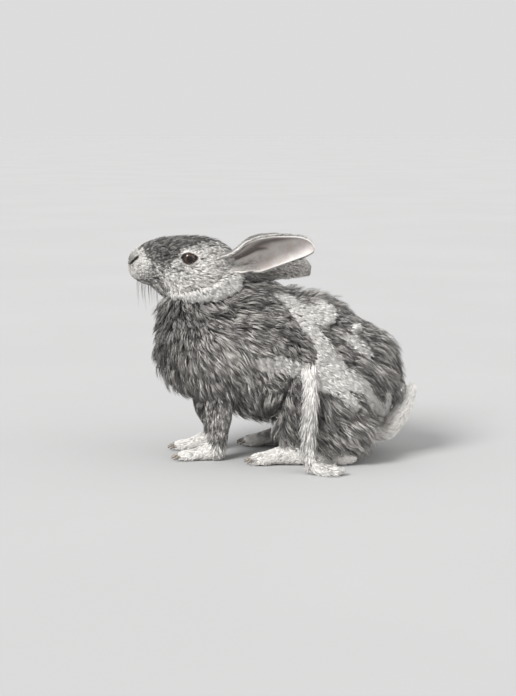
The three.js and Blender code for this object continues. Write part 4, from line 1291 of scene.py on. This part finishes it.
def ear_sheet(name, at, turn, inset):
    """Points of an ear at shares of its length and of its arc (0 lower margin, 1 upper), set in by so much.
    Each section is an arc: radius = half width / mean sine of its two rolled angles, each at most 90."""
    half, upper, lower = at_stations(at)
    half = half * (1 - EAR_PATHS[name][2] * ease(0.78, 0.96, at))
    centre, run, out, up = ear_frame(name, at)
    sines = np.sin(np.radians(np.minimum(upper, 90))) + np.sin(np.radians(np.minimum(lower, 90)))
    radius = 2 * half / sines - inset - ear_ridge(at, turn) * (inset > 0)
    angle = np.radians(-lower + (upper + lower) * turn)
    radius = np.maximum(radius, 0.4)[:, None]
    return centre - out * radius * np.cos(angle)[:, None] + up * radius * np.sin(angle)[:, None]


EAR_STEPS = 64
EAR_TURNS = 48
EAR_RIM = 0.05  # breadth of the furred margin, as a share of the arc
ROLL_SHADE = 13  # how many degrees the hollow under the rolled margin takes up
for name in EAR_PATHS:
    at = 1 - (1 - np.linspace(0, 1, EAR_STEPS + 1)) ** 1.3  # steps crowd together near the tip
    at = np.repeat(at, 2 * EAR_TURNS)
    turn = np.linspace(0, 1, EAR_TURNS)
    turn = np.tile(np.concatenate([turn, turn[::-1]]), EAR_STEPS + 1)
    inner = np.tile(np.repeat([0.0, 1.0], EAR_TURNS), EAR_STEPS + 1)
    sheet = ear_sheet(name, at, turn, inner * EAR_WALL).reshape(EAR_STEPS + 1, 2 * EAR_TURNS, 3)
    ear = surface("skin_" + name, *closed(sheet), ear_paint)
    _, upper, lower = at_stations(at)
    below_rim = (upper + lower) * turn - lower - (180 - upper - 46)  # degrees from where the rim hides it
    # painted shadow under the rolled margin
    roll_shadow = 0.85 * bell(below_rim / ROLL_SHADE) * ease(0.1, 0.25, at) * ease(0.97, 0.75, at)
    # painted shade on one side of each fold, a little off its crest
    fold = inner * np.clip(0.75 * ear_ridge(at, turn, 0.035) + roll_shadow, 0, 0.9)
    rim = 0.7 * np.clip(1.2 - np.minimum(turn, 1 - turn) / EAR_RIM, 0, 1)
    for marking, values in [("back", 1 - inner), ("rim", rim), ("fold", fold)]:
        add_attribute(ear.data, marking, np.append(values, [0.0, 0.0]))
    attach(ear, "root")
    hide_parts(name)
    # Hair of the ear: short and dark over the back, pale and longer along the margins, sparse inside.
    # The far ear's back is painted paler than the near one's: painted light against the shade of the near
    # ear.
    back_tone = (0.9 if name == "ear_left" else 1.9) * np.array([0.7, 0.6])
    for kind, hairs, long, broad, paleness, tones, slot in [
        ("back", 3700, 8.5, 0.7, 0.0, back_tone, "coat_grey"),
        ("rim", 1200, 6.0, 0.5, 1.0, (0.9, 0.15), "coat_pale"),
        ("inside", 600, 7.0, 0.35, 1.0, (0.9, 0.15), "coat_pale"),
    ]:
        inward = kind == "inside"
        at = 0.06 + 0.925 * rng.random(hairs) ** 0.9
        spread = rng.random(hairs)
        if kind == "rim":
            spread = np.where(rng.random(hairs) < 0.5, 0.03 * spread, 1 - 0.03 * spread)
        if inward:
            at = 0.06 + 0.45 * (at - 0.06)
            spread = np.where(rng.random(hairs) < 0.6, 0.04 + 0.25 * spread, 0.96 - 0.3 * spread)
        insets = np.full(hairs, EAR_WALL * inward)
        root = ear_sheet(name, at, spread, insets)
        ahead = ear_sheet(name, np.minimum(at + 0.02, 1.0), spread, insets)
        centre, run, _, _ = ear_frame(name, at)
        up = flattened(root - centre, run) * (-1.0 if inward else 1.0)
        way = flattened(np.where((at > 0.97)[:, None], run, ahead - root), up)
        way = turned(way, up, 0.16 * rng.standard_normal(hairs))
        length = long * draw(hairs, 0.6, 0.6)
        length *= 1 - 0.35 * at - 0.35 * ease(0.75, 1, at) - 0.2 * ease(0.9, 1, at)
        rise = draw(hairs, 1.0, 0.9) * (0.5 if inward else 1.0)
        middle = root + way * (length * 0.5)[:, None] + up * rise[:, None]
        tip = together(root + way * length[:, None] + up * (rise * 0.7)[:, None], leaders(root, 6), 0.4)
        path = np.stack([root - up * 0.4, middle, tip], axis=1)
        tone = draw(hairs, *tones)
        wide = broad * draw(hairs, 0.8, 0.4)
        unwrap = 0.01 + 0.98 * np.stack([at, spread], axis=1)
        strands("coat_" + name + "_" + kind, path, up, wide, tone, np.full(hairs, paleness), unwrap, slot)

# Eyes: a wet dark brown ball with a wide pupil, clear and glossy, set in lids with a dark bare rim.
eye_paint, eye_inputs = new_material(
    "eye", 0.05, Specular_IOR_Level=0.1, Coat_Weight=1.0, Coat_Roughness=0.02, Coat_IOR=1.36
)
streaks = speckled(eye_paint, 900.0, 3.0, (0.026, 0.016, 0.010), (0.062, 0.038, 0.024))
iris = mixed(eye_paint, attribute(eye_paint, "dark_ring"), streaks, (0.006, 0.004, 0.003))
join(iris, eye_inputs["Base Color"])
PUPIL = 3.4  # half its breadth
IRIS = 6.2
LOOK = (0.4, -0.6)  # the pupil is a little behind and below the middle
LID_ROWS = [  # reach beyond the opening, lift off the ball or the mound, and how dark and wet the rim is
    (1.75, -0.9, 0),
    (1.5, -0.2, 0),
    (1.32, 0.3, 0),
    (1.2, 0.45, 0.1),
    (1.12, 0.5, 1),
    (1.0, 0.4, 1),
    (0.965, 0.05, 1),
    (0.99, -1.2, 1),
]
LID_WALL = 0.0005  # metres
lid_paint, lid_inputs = new_material("lid_skin", 0.38)
lid_tone = mixed(lid_paint, attribute(lid_paint, "rim"), (0.55, 0.51, 0.47), (0.020, 0.016, 0.014))
with_grain(lid_paint, lid_inputs, lid_tone, 1500, 0.2, 0.35)
for name, side in [("left", -1), ("right", 1)]:
    centre = EYE_AT * [1, side, 1]
    points, faces = egg((0, 0, 0), EYE_HALF, 0, 0, 40, 56)
    points = points[:, [1, 0, 2]] * [1, side, 1] + centre  # the pole of the ball looks out to the side
    ball = surface("eye_ball_" + name, points, faces, eye_paint)
    off = np.hypot(points[:, 0] - centre[0] - LOOK[0], points[:, 2] - centre[2] - LOOK[1])
    dark_ring = np.maximum(1 - ease(PUPIL - 0.4, PUPIL + 0.4, off), ease(IRIS - 1, IRIS, off))
    add_attribute(ball.data, "dark_ring", dark_ring)
    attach(ball, "root")
    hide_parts("eye_" + name)
    # The lids run from the skin over the ball to the almond opening, and turn in at the rim.
    rows = []
    for outward, lift, _ in LID_ROWS:
        row = np.insert(LID_EDGE, 1, 0, axis=1) * outward + centre * [1, 0, 1]
        wall = reach(head_skin, row, np.broadcast_to(ACROSS, row.shape))
        row[:, 1] = wall
        rows.append(row * [1, side, 1] + ACROSS * side * (orbit(row, wall) + lift)[:, None])
    lid = surface("lids_" + name, np.concatenate(rows), quads_of(len(rows), LID_TURNS), lid_paint)
    add_attribute(lid.data, "rim", np.repeat([float(rim) for _, _, rim in LID_ROWS], LID_TURNS))
    wall = lid.modifiers.new("wall", "SOLIDIFY")
    wall.thickness = LID_WALL
    wall.offset = 0
    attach(lid, "root")

# Claws: short curved dark horn, one at the tip of each toe, half hidden in the fur of the foot.
CLAW_SIZES = [(1.4, 1.6), (1.1, 1.4), (0.2, 0.25)]
CLAW_SUNK = 3.5  # how far its root lies inside the toe's tip
horn, horn_inputs = new_material("claw_horn", 0.35)
horn_tone = speckled(horn, 600.0, 2.0, (0.10, 0.085, 0.07), (0.22, 0.19, 0.155))
join(horn_tone, horn_inputs["Base Color"])
claws = []
for at, half, yaw in TOES:
    ahead = np.array([-cos(radians(yaw)), sin(radians(yaw)), 0.0])
    start = np.array(at) + ahead * (half[0] - CLAW_SUNK)
    line = [start, start + ahead * 4 - [0, 0, 0.6], start + ahead * 7.0 - [0, 0, 2.4]]
    line = np.maximum(line, [-1e3, -1e3, 0.9])  # clear of the floor
    claws.append(closed(limb_rings(line, CLAW_SIZES, ACROSS, 10, 10)))
claw = surface("claws", *joined(claws), horn)
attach(claw, "root")

# Whiskers: stiff hairs that spring from the lips in rows and droop below the chin.
WHISKERS = 36
WHISKER_WIDE = 0.42
whisker_paint, whisker_inputs = new_material("whisker", 0.45)
whisker_tone = mixed(
    whisker_paint, attribute(whisker_paint, "along"), (0.05, 0.045, 0.042), (0.20, 0.19, 0.18)
)
with_grain(whisker_paint, whisker_inputs, whisker_tone, 800, 0.2, 0.1)
side = np.where(np.arange(WHISKERS) % 2 == 0, -1.0, 1.0)
back = rng.random(WHISKERS)
start = np.stack([-129 + 0 * back, 0 * back, draw(WHISKERS, 195, 13)], axis=1)
aim = np.radians(38 + 50 * back)
out = unit(np.stack([-np.cos(aim), side * np.sin(aim), 0 * aim], axis=1))
root = start + out * reach(head_skin, start, out)[:, None]
length = draw(WHISKERS, 24, 24)
steps = np.linspace(0, 1, 7)[None, :, None]
fall = np.array([0.10, 0, -1.0]) * draw(WHISKERS, 0.75, 0.5)[:, None]
path = root[:, None] + length[:, None, None] * (
    out[:, None] * (0.42 * steps - 0.22 * steps**2) + fall[:, None] * (0.15 * steps + 0.7 * steps**2)
)
whole = np.ones(WHISKERS)
unwrap = np.stack([np.linspace(0.05, 0.95, WHISKERS), 0.5 + 0.4 * side], axis=1)
strands("whiskers", path, out, WHISKER_WIDE * whole, whole, whole, unwrap, "coat_pale", whisker_paint)

# The rope of shed wool: felted pale hair that has come away from the flank, hangs clear of the haunch and
# lies on the floor in a curl. It streams out of the shed patch and is wound loosely round its own length.
ROPE = [  # its middle line, from the flank to the end of the curl
    (34, -56, 103), (37, -76, 96), (38, -89, 78), (36, -93, 50), (36, -95, 22), (40, -99, 8), (50, -106, 4.2),
    (62, -111, 4.4), (72, -110, 6),
]
ROPE_BROAD = np.array([1, 0.25, 0.2])
ROPE_LENGTH = 195.0
ROPE_SIZES = [(5.2, 3.2)] * 8 + [(1.6, 1.2)]
rope_paint, rope_inputs = new_material("felted_wool", 0.9)
rope_tint = mixed(rope_paint, attribute(rope_paint, "pale"), (0.42, 0.40, 0.37), PALE_ROOT)
with_grain(rope_paint, rope_inputs, rope_tint, 420, 0.3, 0.9)
points, faces = closed(limb_rings(ROPE, ROPE_SIZES, ROPE_BROAD, 70, 22))
points[:, 2] = np.maximum(points[:, 2], 0.8)
rope = surface("shed_wool", points, faces, rope_paint)
add_attribute(rope.data, "pale", 0.5 + 0.5 * np.sin(points[:, 2] * 0.5 + points[:, 0]))
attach(rope, "root")
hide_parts("wool_rope")


def rope_place(at, angle, wide, thick):
    """Places round the rope: centre + broad side * wide * cos(angle) + depth * thick * sin(angle)."""
    centre = spline(ROPE, at)
    run = unit(spline(ROPE, np.minimum(at + 0.01, 1)) - spline(ROPE, np.maximum(at - 0.01, 0)))
    side = unit(ROPE_BROAD - run * (run @ ROPE_BROAD)[:, None])
    depth = np.cross(run, side)
    taper = 1 - 0.65 * ease(0.88, 1.0, at)
    out = side * (np.cos(angle) * wide * taper)[:, None] + depth * (np.sin(angle) * thick * taper)[:, None]
    return centre + out, unit(out)


ROPE_HAIRS = 4000
at = np.sort(rng.random(ROPE_HAIRS)) * 0.985
angle = 2 * pi * rng.random(ROPE_HAIRS)
onward = draw(ROPE_HAIRS, 14, 14) / ROPE_LENGTH
twist = 0.9 + 0.5 * rng.standard_normal(ROPE_HAIRS)
fringe = rng.random(ROPE_HAIRS) ** 6  # a few hairs stand off as a fringe
spots, outs = [], []
for s, wide, thick in [(0.0, 4.6, 2.8), (0.33, 6.0, 3.9), (0.66, 6.6, 4.3), (1.0, 6.6, 4.2)]:
    spread = 1.0 + 0.12 * fringe + 0.9 * fringe * s**2
    further = np.minimum(at + onward * s, 1.0)
    spot, out = rope_place(further, angle + twist * s * 0.6, wide * spread, thick * spread)
    spots.append(spot)
    outs.append(out)
path = np.stack(spots, axis=1)
path[:, -1] += 0.8 * rng.standard_normal((ROPE_HAIRS, 3))
path[..., 2] = np.maximum(path[..., 2], 0.5)
leader = leaders(path[:, 0], 6)
# greyer locks along the rope's two edges: painted shade of its round form
pale = np.where(rng.random(ROPE_HAIRS)[leader] < 0.10 + 0.25 * (np.abs(np.cos(angle)) > 0.8), 0.25, 1.0)
tone = draw(ROPE_HAIRS, 0.70, 0.30)

# Hair of the patch that gathers into the rope's upper end.
STREAM_HAIRS = 900
root, stream_up = roots_on(["body"], STREAM_HAIRS * 18)
x, z = side_view(root)
near_rope = (root[:, 1] < 0) & (np.hypot((x - 39) / 10, (z - 99) / 9) < 1)
root, stream_up = root[near_rope][:STREAM_HAIRS], stream_up[near_rope][:STREAM_HAIRS]
count = len(root)
lean = np.clip((root[:, 0] - 36) / 10, -1, 1)
end, stream_out = rope_place(draw(count, 0.13, 0.17), np.arccos(lean * 0.95), 6.4, 4.4)
control = root * [0.7, 0.7, 0.75] + end * [0.3, 0.3, 0.25] + stream_up * 8
path = np.concatenate([path, bowed(root - stream_up, control, end, [0, 0.33, 0.67, 1])])
up = np.concatenate([outs[1], unit(stream_up + stream_out)])
pale = np.append(pale, np.ones(count))
tone = np.append(tone, draw(count, 0.92, 0.14))
stream_unwrap = np.stack([draw(count, 0.05, 0.1), 0.5 + 0.4 * lean], axis=1)
unwrap = 0.01 + 0.98 * np.concatenate([np.stack([at, angle / (2 * pi)], axis=1), stream_unwrap])
wide = draw(len(path), 0.75, 0.45)
strands("coat_shed_wool", path, up, wide, tone, pale, unwrap, "coat_pale")
